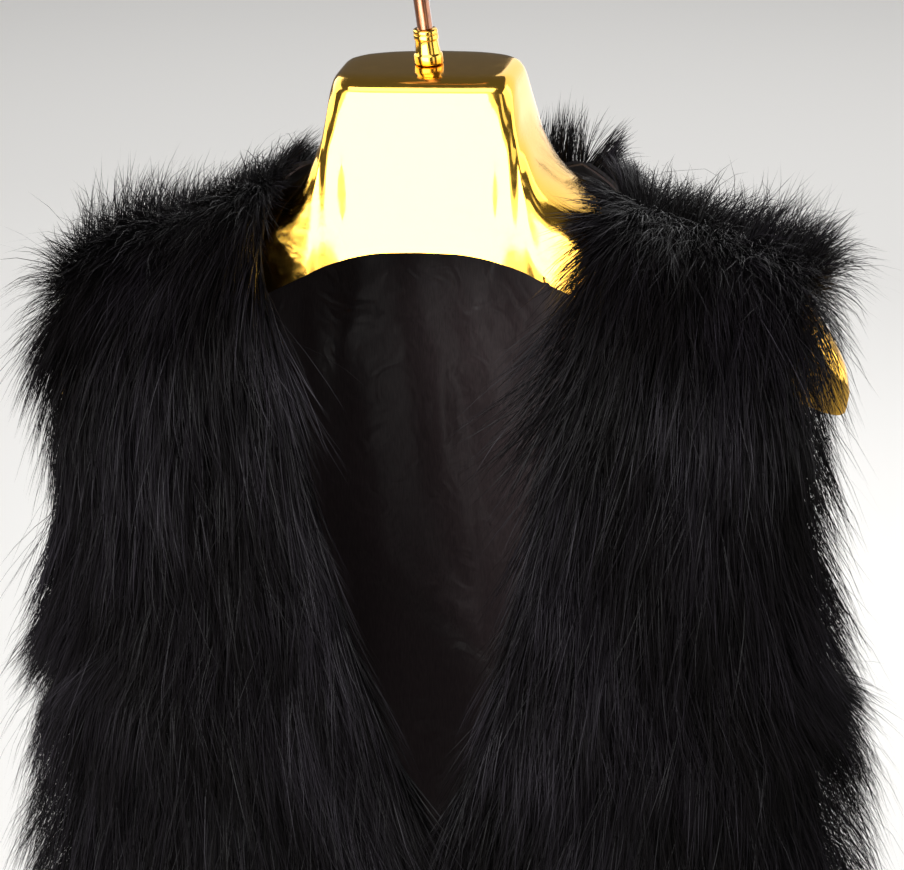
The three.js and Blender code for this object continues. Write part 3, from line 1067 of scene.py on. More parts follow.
        def surface(u: np.ndarray, v: np.ndarray) -> np.ndarray:
            """Gives points of the panel."""
            first = np.zeros_like(v)
            top = self.shoulder_height(self.across(side, self.opening(side, first), u, first)[0])
            x, place = self.across(side, self.opening(side, v), u, v)
            turn, share = self.row_place(v, 0.0)
            return self.cloth_point(-1, x, place, top, turn, share)

        return surface

    def back(self) -> Surface:
        """Gives the back panel's cloth, u from the left side to the right one."""

        def surface(u: np.ndarray, v: np.ndarray) -> np.ndarray:
            """Gives points of the panel."""
            away = np.abs(2 * u - 1)
            parts = [self.across(side, 0.0, away, rows) for side in (-1, 1) for rows in (np.zeros_like(v), v)]
            left = u < 0.5
            start = np.where(left, parts[0][0], parts[2][0])
            x = np.where(left, parts[1][0], parts[3][0])
            place = np.where(left, parts[1][1], parts[3][1])
            inside = np.maximum(1 - ((start - self.centre_front) / self.neck_half) ** 2, 0)
            turn, share = self.row_place(v, math.radians(self.nape_angle) * inside**self.nape_shape)
            return self.cloth_point(1, x, place, self.shoulder_height(start), turn, share)

        return surface


@dataclass(frozen=True)
class ClothAxes:
    """Where points of a cloth lie and how it runs there.

    Attributes:
        points: The points.
        across: Unit vectors along the cloth, away from the garment's middle.
        down: Unit vectors along the cloth, towards the hem.
        out: Unit vectors out of the garment.
        stretch_u: Millimetres of cloth for a step of 1 in u.
        stretch_v: Millimetres of cloth for a step of 1 in v.
    """

    points: np.ndarray
    across: np.ndarray
    down: np.ndarray
    out: np.ndarray
    stretch_u: np.ndarray
    stretch_v: np.ndarray


def cloth_axes(surface: Surface, face: int, u: np.ndarray, v: np.ndarray) -> ClothAxes:
    """Reads a cloth's place and directions.

    Args:
        surface: The panel's cloth.
        face: -1 on the front and 1 on the back.
        u: Places across.
        v: Places down.

    Returns:
        The points and the directions there.
    """
    step = 0.002
    points = surface(u, v)
    right, left = np.clip(u + step, 0, 1), np.clip(u - step, 0, 1)
    low, high = np.clip(v + step, 0, 1), np.clip(v - step, 0, 1)
    by_u = (surface(right, v) - surface(left, v)) / (right - left)[..., None]
    by_v = (surface(u, low) - surface(u, high)) / (low - high)[..., None]
    across, down = unit(by_u), unit(by_v)
    out = unit(np.cross(down, across))
    side = np.where(points[..., 0] < 0, -1.0, 1.0)
    flip = face * out[..., 1] + side * out[..., 0] + out[..., 2] / 2 < 0
    out = np.where(flip[..., None], -out, out)
    across = np.where((side * across[..., 0] < 0)[..., None], -across, across)
    return ClothAxes(
        points, across, down, out, np.linalg.norm(by_u, axis=-1), np.linalg.norm(by_v, axis=-1)
    )


def kept_inside(points: np.ndarray) -> np.ndarray:
    """Bends points back that would leave the CAD box by more than cloth may stand proud of it.

    Args:
        points: Points in millimetres.

    Returns:
        The points, unchanged up to a soft margin before the limit.
    """
    low, high = (np.array(corner) / MM for corner in CAD_BOX)
    proud = PROUD_SHARE * (high - low) + PROUD
    over = np.maximum(points - (high + proud - PROUD_SOFT), 0)
    under = np.maximum(low - proud + PROUD_SOFT - points, 0)
    points = points - (over - PROUD_SOFT * np.tanh(over / PROUD_SOFT))
    return points + (under - PROUD_SOFT * np.tanh(under / PROUD_SOFT))


class Panel(Enum):
    """The three cut panels that carry the pile, each with its face and side."""

    BACK = ("back", 1, 0)
    FRONT_LEFT = ("front_left", -1, 1)
    FRONT_RIGHT = ("front_right", -1, -1)

    @property
    def title(self) -> str:
        """The panel's name in the names of its pieces."""
        return self.value[0]

    @property
    def face(self) -> int:
        """-1 on the front and 1 on the back."""
        return self.value[1]

    @property
    def side(self) -> int:
        """-1 or 1 for a front, and 0 for the back."""
        return self.value[2]

    def surface(self, cut: VestCut) -> Surface:
        """Gives the panel's cloth."""
        return cut.back() if self.side == 0 else cut.front(self.side)


@dataclass(frozen=True)
class ClothSheets:
    """The thin cloths of the vest: the knitted backing of each panel and the satin of the back.

    Attributes:
        cut: The vest's cut.
        backing_wall: Thickness of the backing.
        lining_wall: Thickness of the lining.
        lining_gap: Gap between the lining and the backing.
        lining_rise: How far above the hem the lining ends.
        backing_columns: Columns of points on a front and on the back.
        backing_rows: Rows of points of a backing.
        lining_grid: Columns and rows of points of the lining.
        fold_rows: Rows between which the lining's folds begin.
        fold_seam: How fast they grow from the side seams; 6 is over a sixth of the width.
        fold_level: Height at which the folds' places are measured.
        fold_waver: How far the folds waver to the side, and the height that a waver takes.
        back_cut: Width and length of the flat back, with its area in square metres; not used.
        front_cut: Width and length of a flat front, with its area in square metres; not used.
    """

    cut: VestCut = field(default_factory=VestCut)
    backing_wall: float = 1.6
    lining_wall: float = 0.9
    lining_gap: float = 0.4
    lining_rise: float = 16.0
    backing_columns: tuple[int, int] = (29, 57)
    backing_rows: int = 51
    lining_grid: tuple[int, int] = (113, 97)
    fold_rows: tuple[float, float] = (0.16, 0.34)
    fold_seam: float = 6.0
    fold_level: float = -300.0
    fold_waver: tuple[float, float] = (3.0, 47.0)
    back_cut: tuple[float, float, float] = (0.51, 0.69, 0.30)
    front_cut: tuple[float, float, float] = (0.27, 0.69, 0.145)

    def build_backing(self, panel: Panel, finish: bpy.types.Material) -> bpy.types.Object:
        """Builds one panel's backing, which carries the pile.

        Args:
            panel: Which panel.
            finish: The knit's material.

        Returns:
            The backing's thin shell.
        """
        across = self.backing_columns[panel is Panel.BACK]
        u, v = np.meshgrid(np.linspace(0, 1, across), np.linspace(0, 1, self.backing_rows))
        axes = cloth_axes(panel.surface(self.cut), panel.face, u, v)
        outer = axes.points + axes.out * self.backing_wall
        outer[..., 1] = panel.face * np.maximum(panel.face * outer[..., 1], self.cut.seam_gap)
        backing = shell_piece(f"{panel.title}_backing", outer, axes.points)
        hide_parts(f"{panel.title}_panel" if panel is Panel.BACK else panel.title)
        dress(backing, finish)
        return backing

    def fold_depth(self, points: np.ndarray, u: np.ndarray, v: np.ndarray) -> np.ndarray:
        """Gives how far the hanging lining stands in from the backing.

        Args:
            points: The backing's points.
            u: Their places across.
            v: Their places down.

        Returns:
            The depth of the soft folds, fading out towards the seams.
        """
        fade = np.minimum(self.fold_seam * np.minimum(u, 1 - u), 1) * smooth(v, *self.fold_rows)
        total = np.zeros_like(u)
        waver, pitch = self.fold_waver
        for across, slant, width, depth in LINING_FOLDS.rows:
            centre = across + slant * (points[..., 2] - self.fold_level)
            centre += waver * np.sin(points[..., 2] / pitch + across)
            total += depth * np.exp(-(((points[..., 0] - centre) / width) ** 2))
        for across, height, lean, reach, width, depth in LINING_CREASES.rows:
            aside, rise = points[..., 0] - across, points[..., 2] - height
            cos, sin = math.cos(math.radians(lean)), math.sin(math.radians(lean))
            along, off = rise * cos + aside * sin, aside * cos - rise * sin
            total += depth * np.exp(-((off / width) ** 2) - (along / reach) ** 2)
        return total * fade

    def build_lining(self, finish: bpy.types.Material) -> bpy.types.Object:
        """Builds the satin lining of the back, with its hanging folds."""
        surface = self.cut.back()
        neck_top = float(self.cut.shoulder_height(np.array(self.cut.neck_half)))
        lowest = 1 - self.lining_rise / (neck_top - self.cut.hem_height)
        columns, rows = self.lining_grid
        u, v = np.meshgrid(np.linspace(0, 1, columns), np.linspace(0, 1, rows) * lowest)
        axes = cloth_axes(surface, 1, u, v)
        depth = self.lining_gap + self.fold_depth(axes.points, u, v)
        faces = []
        for extra in (0.0, self.lining_wall):
            points = axes.points - axes.out * (depth + extra)[..., None]
            points[..., 1] = np.maximum(points[..., 1], self.cut.seam_gap)
            faces.append(points)
        lining = shell_piece("lining_satin_back", faces[0], faces[1])
        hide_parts("lining_back")
        dress(lining, finish)
        return lining


@dataclass(frozen=True)
class Combing:
    """How the pile of one stretch of a panel stands and lies.

    Attributes:
        strands: How many strands it has.
        segments: How many straight stretches a strand has.
        locks: How many locks they gather into.
        rows: The first and last row of the stretch.
        seed: Seed of its random draws.
    """

    strands: int
    segments: int
    locks: int
    rows: tuple[float, float]
    seed: int


@dataclass(frozen=True)
class Draws:
    """The random draws of one stretch of pile.

    Attributes:
        lock: Draws that the strands of a lock share, a column for each strand.
        own: Each strand's own draws.
        wild: Which strands are loose ones.
    """

    lock: np.ndarray
    own: np.ndarray
    wild: np.ndarray


@dataclass(frozen=True)
class Scatter:
    """How far an angle of the strands varies, in degrees.

    Attributes:
        lock: Spread from lock to lock.
        own: Spread from strand to strand.
        crest: How much more that is along the shoulder line.
        wild: What loose strands have.
    """

    lock: float
    own: float
    crest: float
    wild: float

    def of(self, draws: Draws, row: int, crest: np.ndarray) -> np.ndarray:
        """Gives each strand's turn away from the mean, with the loose ones' share added."""
        own = (self.own + self.crest * crest) * draws.own[row]
        return self.lock * draws.lock[row] + own + np.where(draws.wild, self.wild, 0)


def wave(x: np.ndarray, z: np.ndarray, across: float, down: float, shift: float = 0.0) -> np.ndarray:
    """Gives a slanting wave over the cloth.

    Args:
        x: Places across.
        z: Heights.
        across: Distance across in which the wave turns by one radian.
        down: The same in height.
        shift: Where it starts, in radians.

    Returns:
        The wave, from -1 to 1.
    """
    return np.sin(x / across + z / down + shift)


@dataclass(frozen=True)
class Lie:
    """How the strands of a stretch of pile lie, a value for each strand.

    Attributes:
        turn: Turn of the combing from straight down, outward positive, in radians.
        bend: Further turn towards the tip, in radians.
        root: Angle between strand and cloth at the root, in degrees.
        tip: The same at the tip.
        lean: Share of the direction that leans outward past the shoulder's end.
        droop: Share of the direction that the strand's weight takes at its tip.
        length: Length of the strand.
        tone: Tone of the strand, 0 dark to 1 light: random fibre tone with painted sheen patches added.
    """

    turn: np.ndarray
    bend: np.ndarray
    root: np.ndarray
    tip: np.ndarray
    lean: np.ndarray
    droop: np.ndarray
    length: np.ndarray
    tone: np.ndarray


@dataclass(frozen=True)
class FurPile:
    """The long pile: flat tapered strands that grow from a panel's backing in soft locks.

    Pairs hold a value for the left of the picture and one for its right, or for the shallowest
    and the deepest part of the shoulders' crest.

    Attributes:
        cut: The vest's cut.
        length: Mean length of a strand.
        root_width: Width of a strand at its root.
        root_lift: Angle between a strand and the cloth at its root, in degrees.
        tip_lift: The same at its tip.
        crest_root_lift: Angle at the root along the shoulder line.
        crest_tip_lift: Angle at the tip there.
        crest_depths: Depths of the crest that these angles belong to.
        crest_rows: Rows over which the crest passes into the fall, on the front and on the back.
        crest_floor: Least depth of the crest.
        crest_lean: How far the crest's end leans outward.
        crest_length: Length of the crest's strands where it is shallow and deep, as a share of the mean.
        edge_lean: How far the pile leans over the neck's edge.
        droop: Share of a strand's direction that its own weight takes at the tip.
        gather: Share by which tips of one lock come together.
        curl: Spread of the strands' turn to the side on the way to the tip, in degrees.
        armhole_fan: How far the pile turns outward at the armholes, in degrees.
        tip_fan: Share of that turn at the shoulder's end.
        armhole_flat: Share of the lift that is lost at the top of the armholes.
        side_lift: Gain of the lift along the side seams.
        neck_fan: How far it turns into the neck opening, in degrees.
        nape_lift: Angle between a strand and the cloth at its root along the nape, in degrees.
        nape_length: Length of the nape's strands as a share of the mean.
        corner_share: How much shorter the nape's strands are at the neck's corners.
        corner_lean: How far the pile at these corners leans over the hanger.
        corner_lift: Angle between a strand and the cloth at its root there, in degrees.
        corner_length: Length of the strands there as a share of the mean.
        edge_cover: Further lean over the neck's edge beside the hanger's flare.
        wild_share: Share of loose strands that stand off the others.
        edge_weight: How much denser the pile is along a panel's edges.
        hem_weight: The same along the hem.
        hem_length: Length of the strands along the hem as a share of the mean.
        edge_reach: Width of that denser band, and of the band that leans over the neck's edge.
        twist: Spread of the strands' turn about their own length, in degrees.
        body_depth: Depth of dense pile at which the strands stand at their mean angles.
        body_rows: Rows between which the crest's depth gives way to the body's.
        armhole_heights: Heights between which the turn at the armholes grows.
        tip_heights: Heights between which the shoulder's end begins.
        side_heights: Heights between which the side seams' lift ends.
        cover_heights: Heights between which the lean beside the hanger's flare grows.
        nape_places: Distances from the centre front between which the nape ends.
        nape_rows: Rows over which it ends.
        nape_curl: How much flatter the nape's strands are at the tip, in degrees.
        corner_places: Distances between which its strands get shorter.
        corner_rows: Rows over which the pile at the neck's corners ends.
        corner_reach: Distances from a corner between which it ends.
        root_scatter: How the angle at the root varies.
        tip_scatter: How the angle at the tip varies.
        turn_scatter: How the turn of the combing varies.
        length_scatter: How the length varies from lock to lock and from strand to strand.
        wild_length: Length of the loose strands as a share of the others'.
        wild_width: Their width as a share of the others'.
        width_scatter: How the width varies.
        lock_spread: Spread of a lock's roots as a share of the distance between locks.
        root_depth: How far over the backing's inner face the strands start.
        armhole_ease: Exponent with which the turn at the armholes fades.
        reaches: Shares of the panel's width over which the armhole's turn, the side seam's lift,
            the lean at the shoulder's end and the neck's turn fade.
        hem_rows: Rows between which the strands get shorter towards the hem.
        flat_length: Length of strands that lie quite flat, as a share of the others'.
        corner_tip_lift: Angle at the tip at the neck's corners, in degrees.
        corner_scatter: How the angles at root and tip vary there.
        length_range: Least and most of a strand's length before its place counts, as shares.
        width_range: The same for its width.
        root_range: Least and most of the angle at the root.
        tip_range: The same at the tip.
        calm: Share of the droop and of the gathering that the crest and the nape lose.
        tone_mean: Mean tone of the strands.
        painted_sheen_patch: Painted sheen: how much the tone changes from patch to patch, standing for the
            sheen on the locks.
        tone_scatter: How it varies from lock to lock and from strand to strand.
        tone_range: Its least and most.
        lift_ease: Exponent with which a strand bends down from root to tip.
        sway_ease: Exponent with which it turns aside and droops.
        gather_ease: Exponent with which the tips of a lock come together.
        wild_gather: Share of that for the loose strands.
    """

    cut: VestCut = field(default_factory=VestCut)
    length: float = 58.0
    root_width: float = 0.38
    root_lift: float = 40.0
    tip_lift: float = 8.0
    crest_root_lift: tuple[float, float] = (34.0, 64.0)
    crest_tip_lift: tuple[float, float] = (-2.0, 24.0)
    crest_depths: tuple[float, float] = (13.0, 38.0)
    crest_rows: tuple[float, float] = (0.09, 0.15)
    crest_floor: tuple[float, float] = (17.0, 13.0)
    crest_lean: tuple[float, float] = (-0.45, -0.22)
    crest_length: tuple[float, float] = (0.42, 0.76)
    edge_lean: tuple[float, float] = (0.08, 0.1)
    side_lift: tuple[float, float] = (1.15, 1.5)
    droop: float = 0.42
    gather: float = 0.4
    curl: float = 9.0
    armhole_fan: tuple[float, float] = (24.0, 38.0)
    tip_fan: float = 0.35
    armhole_flat: tuple[float, float] = (0.6, 0.2)
    neck_fan: tuple[float, float] = (-5.0, -3.0)
    nape_lift: float = 106.0
    nape_length: tuple[float, float] = (0.42, 0.52)
    corner_share: float = 0.55
    corner_lean: float = 0.8
    corner_lift: float = 40.0
    corner_length: float = 0.46
    edge_cover: tuple[float, float] = (0.16, 0.34)
    wild_share: float = 0.045
    edge_weight: float = 1.2
    hem_weight: float = 3.5
    hem_length: float = 0.84
    edge_reach: float = 9.0
    twist: float = 38.0
    body_depth: float = 27.0
    body_rows: tuple[float, float] = (0.1, 0.3)
    armhole_heights: tuple[float, float] = (-440.0, -365.0)
    tip_heights: tuple[float, float] = (-300.0, -225.0)
    side_heights: tuple[float, float] = (-430.0, -370.0)
    cover_heights: tuple[float, float] = (-262.0, -222.0)
    nape_places: tuple[float, float] = (74.0, 90.0)
    nape_rows: float = 0.09
    nape_curl: float = 32.0
    corner_places: tuple[float, float] = (52.0, 76.0)
    corner_rows: float = 0.11
    corner_reach: tuple[float, float] = (5.0, 17.0)
    root_scatter: Scatter = Scatter(7.0, 4.0, 6.0, 14.0)
    tip_scatter: Scatter = Scatter(5.0, 3.5, 8.0, 10.0)
    turn_scatter: Scatter = Scatter(7.0, 3.0, 8.0, 16.0)
    length_scatter: tuple[float, float] = (0.08, 0.15)
    wild_length: float = 1.12
    wild_width: float = 0.7
    width_scatter: float = 0.2
    lock_spread: float = 0.62
    root_depth: float = 0.9
    armhole_ease: float = 1.3
    reaches: tuple[float, float, float, float] = (0.5, 0.3, 0.45, 0.3)
    hem_rows: tuple[float, float] = (0.9, 1.0)
    flat_length: float = 0.75
    corner_tip_lift: float = 6.0
    corner_scatter: tuple[float, float] = (8.0, 7.0)
    length_range: tuple[float, float] = (0.5, 1.4)
    width_range: tuple[float, float] = (0.5, 1.5)
    root_range: tuple[float, float] = (3.0, 125.0)
    tip_range: tuple[float, float] = (-4.0, 100.0)
    calm: float = 0.6
    tone_mean: float = 0.45
    # Painted sheen: strength of the lighter and darker tone patches that stand for sheen on the locks.
    painted_sheen_patch: float = 0.22
    tone_scatter: tuple[float, float] = (0.16, 0.12)
    tone_range: tuple[float, float] = (0.02, 0.98)
    lift_ease: float = 0.8
    sway_ease: float = 1.5
    gather_ease: float = 1.6
    wild_gather: float = 0.1

    def lock_places(
        self, surface: Surface, face: int, combing: Combing, rng: np.random.Generator
    ) -> np.ndarray:
        """Spreads the middles of the locks over the cloth, closer together along its edges.

        Args:
            surface: The panel's cloth.
            face: -1 on the front and 1 on the back.
            combing: The stretch to fill.
            rng: The source of random numbers.

        Returns:
            Two columns, u and v, a row for each lock.
        """
        columns, rows = 60, 120
        u, v = np.meshgrid(
            (np.arange(columns) + 0.5) / columns,
            mix(combing.rows[0], combing.rows[1], (np.arange(rows) + 0.5) / rows),
        )
        axes = cloth_axes(surface, face, u, v)
        from_edge = np.minimum(u, 1 - u) * axes.stretch_u
        weight = 1 + self.edge_weight * np.exp(-from_edge / self.edge_reach)
        weight += self.hem_weight * np.exp(-(1 - v) * axes.stretch_v / self.edge_reach)
        area = np.cumsum((axes.stretch_u * axes.stretch_v * weight).ravel())
        picks = (np.arange(combing.locks) + rng.random(combing.locks)) / combing.locks * area[-1]
        cell = np.clip(np.searchsorted(area, picks), 0, area.size - 1)
        jitter = rng.random((2, combing.locks)) - 0.5
        height = (combing.rows[1] - combing.rows[0]) / rows
        return np.stack([u.ravel()[cell] + jitter[0] / columns, v.ravel()[cell] + jitter[1] * height], -1)

    def by_side(self, x: np.ndarray, pair: tuple[float, float]) -> np.ndarray:
        """Picks the value for the left or the right of the picture."""
        return np.where(x < 0, pair[0], pair[1])

    def lie(self, panel: Panel, axes: ClothAxes, u: np.ndarray, v: np.ndarray, draws: Draws) -> Lie:
        """Works out how strands lie from where they grow.

        Args:
            panel: The panel that they grow on.
            axes: The cloth at their roots.
            u: Their places across.
            v: Their places down.
            draws: Their random draws.

        Returns:
            How each strand lies.
        """
        x, z = axes.points[:, 0], axes.points[:, 2]
        lock, own, wild = draws.lock, draws.own, draws.wild
        from_edge = 1 - np.abs(2 * u - 1) if panel is Panel.BACK else 1 - u
        armhole_reach, side_reach, tip_reach, neck_reach = self.reaches
        at_armhole = (1 - smooth(from_edge, 0.0, armhole_reach)) ** self.armhole_ease
        at_armhole = smooth(z, *self.armhole_heights) * at_armhole
        at_tip = smooth(z, *self.tip_heights)
        beside = np.abs(x - self.cut.centre_front)
        depth = np.maximum(CREST.course("place", "depth").at(beside), self.by_side(x, self.crest_floor))
        deep = (depth - self.crest_depths[0]) / (self.crest_depths[1] - self.crest_depths[0])
        crest = 1 - smooth(v, 0.0, self.crest_rows[max(panel.face, 0)])
        stand = mix(depth / self.body_depth, 1.0, smooth(v, *self.body_rows))
        stand = stand * (1 - self.by_side(x, self.armhole_flat) * at_armhole * at_tip)
        at_side = (1 - smooth(z, *self.side_heights)) * (1 - smooth(from_edge, 0.0, side_reach))
        stand = stand * mix(1.0, self.by_side(x, self.side_lift), at_side)
        nape = np.zeros_like(u)
        nape_length = mix(1.0, self.corner_share, smooth(beside, *self.corner_places))
        nape_length = self.by_side(x, self.nape_length) * nape_length
        fan = self.by_side(x, self.armhole_fan) * at_armhole * mix(1.0, self.tip_fan, at_tip)
        lean = self.by_side(x, self.crest_lean) * crest * (1 - smooth(from_edge, 0.0, tip_reach))
        if panel is Panel.BACK:
            nape = (1 - smooth(v, 0, self.nape_rows)) * (1 - smooth(beside, *self.nape_places))
        else:
            opening = NECK.course("height", "open").at(z)
            fan += self.by_side(x, self.neck_fan) * opening * (1 - smooth(u, 0, neck_reach))
            covered = self.by_side(x, self.edge_cover) * smooth(z, *self.cover_heights)
            over = self.by_side(x, self.edge_lean) + covered
            lean -= over * opening * (1 - smooth(u * axes.stretch_u, 0, self.edge_reach))
        fan += 4 * wave(x, z, 37, 61) + 3 * wave(x, z, 19, -43, 2) + 2 * wave(x, z, 71, 23)

        swell = 6 * wave(x, z, 23, 31) * wave(x, z, -57, 47, 1) + 4 * wave(x, z, 11, -19)
        # Painted sheen: slanting patches of lighter and darker tone that stand for the sheen on the locks.
        patch = self.painted_sheen_patch * np.sin(x / 14 + 2 * np.sin(z / 60)) * wave(x, z, 47, 39, 1)
        root = mix(self.root_lift * stand, mix(*self.crest_root_lift, deep), crest) + swell
        root = mix(root, self.nape_lift, nape) + self.root_scatter.of(draws, 1, crest)
        tip = mix(self.tip_lift * stand, mix(*self.crest_tip_lift, deep), crest) + swell / 2
        tip = mix(tip, self.nape_lift - self.nape_curl, nape) + self.tip_scatter.of(draws, 2, crest)
        short = mix(*self.crest_length, deep)
        varied = 1 + self.length_scatter[0] * lock[3] + self.length_scatter[1] * own[3]
        length = self.length * np.clip(varied, *self.length_range) * np.where(wild, self.wild_length, 1.0)
        length *= mix(self.flat_length, 1.0, np.minimum(stand + crest, 1)) * mix(1.0, short, crest)
        length *= mix(1.0, nape_length / short, nape)
        length *= mix(1.0, self.hem_length, smooth(v, *self.hem_rows))
        from_corner = np.abs(beside - self.cut.neck_half)
        corner = (1 - smooth(v, 0.0, self.corner_rows)) * (1 - smooth(from_corner, *self.corner_reach))
        lean -= self.corner_lean * corner
        root = mix(root, self.corner_lift + self.corner_scatter[0] * own[1], corner)
        tip = mix(tip, self.corner_tip_lift + self.corner_scatter[1] * own[2], corner)
        at_corner = self.corner_length * self.length * (1 + self.length_scatter[1] * own[3])
        length = mix(length, at_corner, corner)
        sway = self.turn_scatter
        fan += sway.lock * lock[0] + np.where(wild, sway.wild, sway.own + sway.crest * crest) * own[0]
        # The tone is painted sheen patches plus random tone from lock to lock and from strand to strand.
        tone = self.tone_mean + patch + self.tone_scatter[0] * lock[2] + self.tone_scatter[1] * own[3]
        return Lie(
            turn=np.radians(fan),
            bend=np.radians(self.curl * (lock[4] + (0.6 + crest) * own[5])),
            root=np.clip(root, *self.root_range),
            tip=np.clip(tip, *self.tip_range),
            lean=lean,
            droop=self.droop * (1 - self.calm * np.maximum(crest, nape)),
            length=length,
            tone=np.clip(tone, *self.tone_range),
        )

    def strand_lines(self, panel: Panel, combing: Combing, rng: np.random.Generator) -> Grown:
        """Grows the strands' middle lines.

        Args:
            panel: The panel that they grow on.
            combing: How many there are and where.
            rng: The source of random numbers.

        Returns:
            The lines' points, the outward direction at each root, each strand's width and its tone.
        """
        surface = panel.surface(self.cut)
        locks = self.lock_places(surface, panel.face, combing, rng)
        centre = cloth_axes(surface, panel.face, locks[:, 0], locks[:, 1])
        area = float((centre.stretch_u * centre.stretch_v).mean()) * (combing.rows[1] - combing.rows[0])
        spread = self.lock_spread * math.sqrt(area / combing.locks)
        lock = rng.permutation(np.arange(combing.strands) % combing.locks)
        offset = rng.normal(0, spread, (2, combing.strands))
        u = np.abs(locks[lock, 0] + offset[0] / centre.stretch_u[lock])
        v = np.abs(locks[lock, 1] + offset[1] / centre.stretch_v[lock])
        u, v = np.clip(1 - np.abs(1 - u), 0.0, 1.0), np.clip(1 - np.abs(1 - v), 0.0, 1.0)
        axes = cloth_axes(surface, panel.face, u, v)
        draws = Draws(
            lock=rng.normal(0, 1, (5, combing.locks))[:, lock],
            own=rng.normal(0, 1, (6, combing.strands)),
            wild=rng.random(combing.strands) < self.wild_share,
        )
        lie = self.lie(panel, axes, u, v, draws)

        weight = np.array([0.0, 0.0, -1.0])
        lines = np.zeros((combing.strands, combing.segments + 1, 3))
        lines[:, 0] = axes.points + axes.out * self.root_depth
        for k in range(combing.segments):
            along = (k + 0.5) / combing.segments
            angle = np.radians(mix(lie.root, lie.tip, along**self.lift_ease))[:, None]
            turn = (lie.turn + lie.bend * along**self.sway_ease)[:, None]
            comb = axes.down * np.cos(turn) + axes.across * np.sin(turn)
            heading = comb * np.cos(angle) + axes.out * np.sin(angle) + axes.across * lie.lean[:, None]
            heading = unit(heading + weight * (lie.droop * along**self.sway_ease)[:, None])
            lines[:, k + 1] = lines[:, k] + heading * (lie.length / combing.segments)[:, None]
        beside_lock = axes.points - centre.points[lock]
        beside_lock -= (beside_lock * axes.down).sum(-1, keepdims=True) * axes.down
        crest = 1 - smooth(v, 0.0, self.crest_rows[1])
        rate = self.gather * np.where(draws.wild, self.wild_gather, 1.0) * (1 - self.calm * crest)
        for k in range(1, combing.segments + 1):
            lines[:, k] -= beside_lock * ((k / combing.segments) ** self.gather_ease * rate)[:, None]
        width = self.root_width * np.clip(1 + self.width_scatter * draws.own[4], *self.width_range)
        width = width * np.where(draws.wild, self.wild_width, 1)
        return kept_inside(lines), axes.out, width, lie.tone

    def build(
        self, panel: Panel, combing: Combing, number: int, finish: bpy.types.Material
    ) -> bpy.types.Object:
        """Builds one stretch of pile as a joined mesh.

        Args:
            panel: The panel that it grows on.
            combing: How many strands it has and where.
            number: The stretch's number on its panel.
            finish: The fibre's material.

        Returns:
            The pile.
        """
        rng = np.random.default_rng(combing.seed)
        lines, out, width, tone = self.strand_lines(panel, combing, rng)
        count, levels = lines.shape[0], combing.segments
        along = unit(np.gradient(lines, axis=1))
        turn = np.radians(rng.normal(0, self.twist, count))[:, None, None]
        facing = unit(out[:, None] - (out[:, None] * along).sum(-1, keepdims=True) * along)
        side = np.cross(along, facing)
        side = side * np.cos(turn) + facing * np.sin(turn)
        taper = 1 - 0.5 * (np.arange(levels) / levels)
        half = (width[:, None] / 2 * taper)[..., None] * side[:, :levels]
        body = np.stack([lines[:, :levels] - half, lines[:, :levels] + half], 2)
        points = np.concatenate([body.reshape(count, -1, 3), lines[:, levels:]], 1)
        each = 2 * levels + 1
        first = np.arange(count)[:, None, None] * each
        step = np.arange(levels - 1)[None, :, None] * 2
        quads = (first + step + np.array([0, 1, 3, 2])[None, None]).reshape(-1, 4)
        tips = (first[:, 0] + np.array([2 * levels - 2, 2 * levels - 1, 2 * levels])[None]).reshape(-1, 3)
        pile = mesh_piece(f"{panel.title}_pile_{number}", points.reshape(-1, 3), [quads, tips])
        self.map_strands(pile, tone, each, levels)
        dress(pile, finish)
        return pile

    def map_strands(self, pile: bpy.types.Object, tone: np.ndarray, each: int, levels: int) -> None:
        """Writes each strand's tone and its root-to-tip place into the strand map.

        Args:
            pile: The pile's mesh object.
            tone: The strands' tones.
            each: How many points a strand has.
            levels: How many pairs of points come before its tip.
        """
        mesh = pile.data
        corner = np.zeros(len(mesh.loops), np.int32)
        mesh.loops.foreach_get("vertex_index", corner)
        strand, point = corner // each, corner % each
        place = np.minimum(point // 2, levels) / levels
        shift = np.where(point == 2 * levels, 0.0, np.where(point % 2 == 0, -0.006, 0.006))
        values = np.stack([tone[strand] + shift, 0.01 + 0.98 * place], -1)
        layer = mesh.uv_layers.new(name=STRAND_UV)
        layer.data.foreach_set("uv", values.astype(np.float32).ravel())


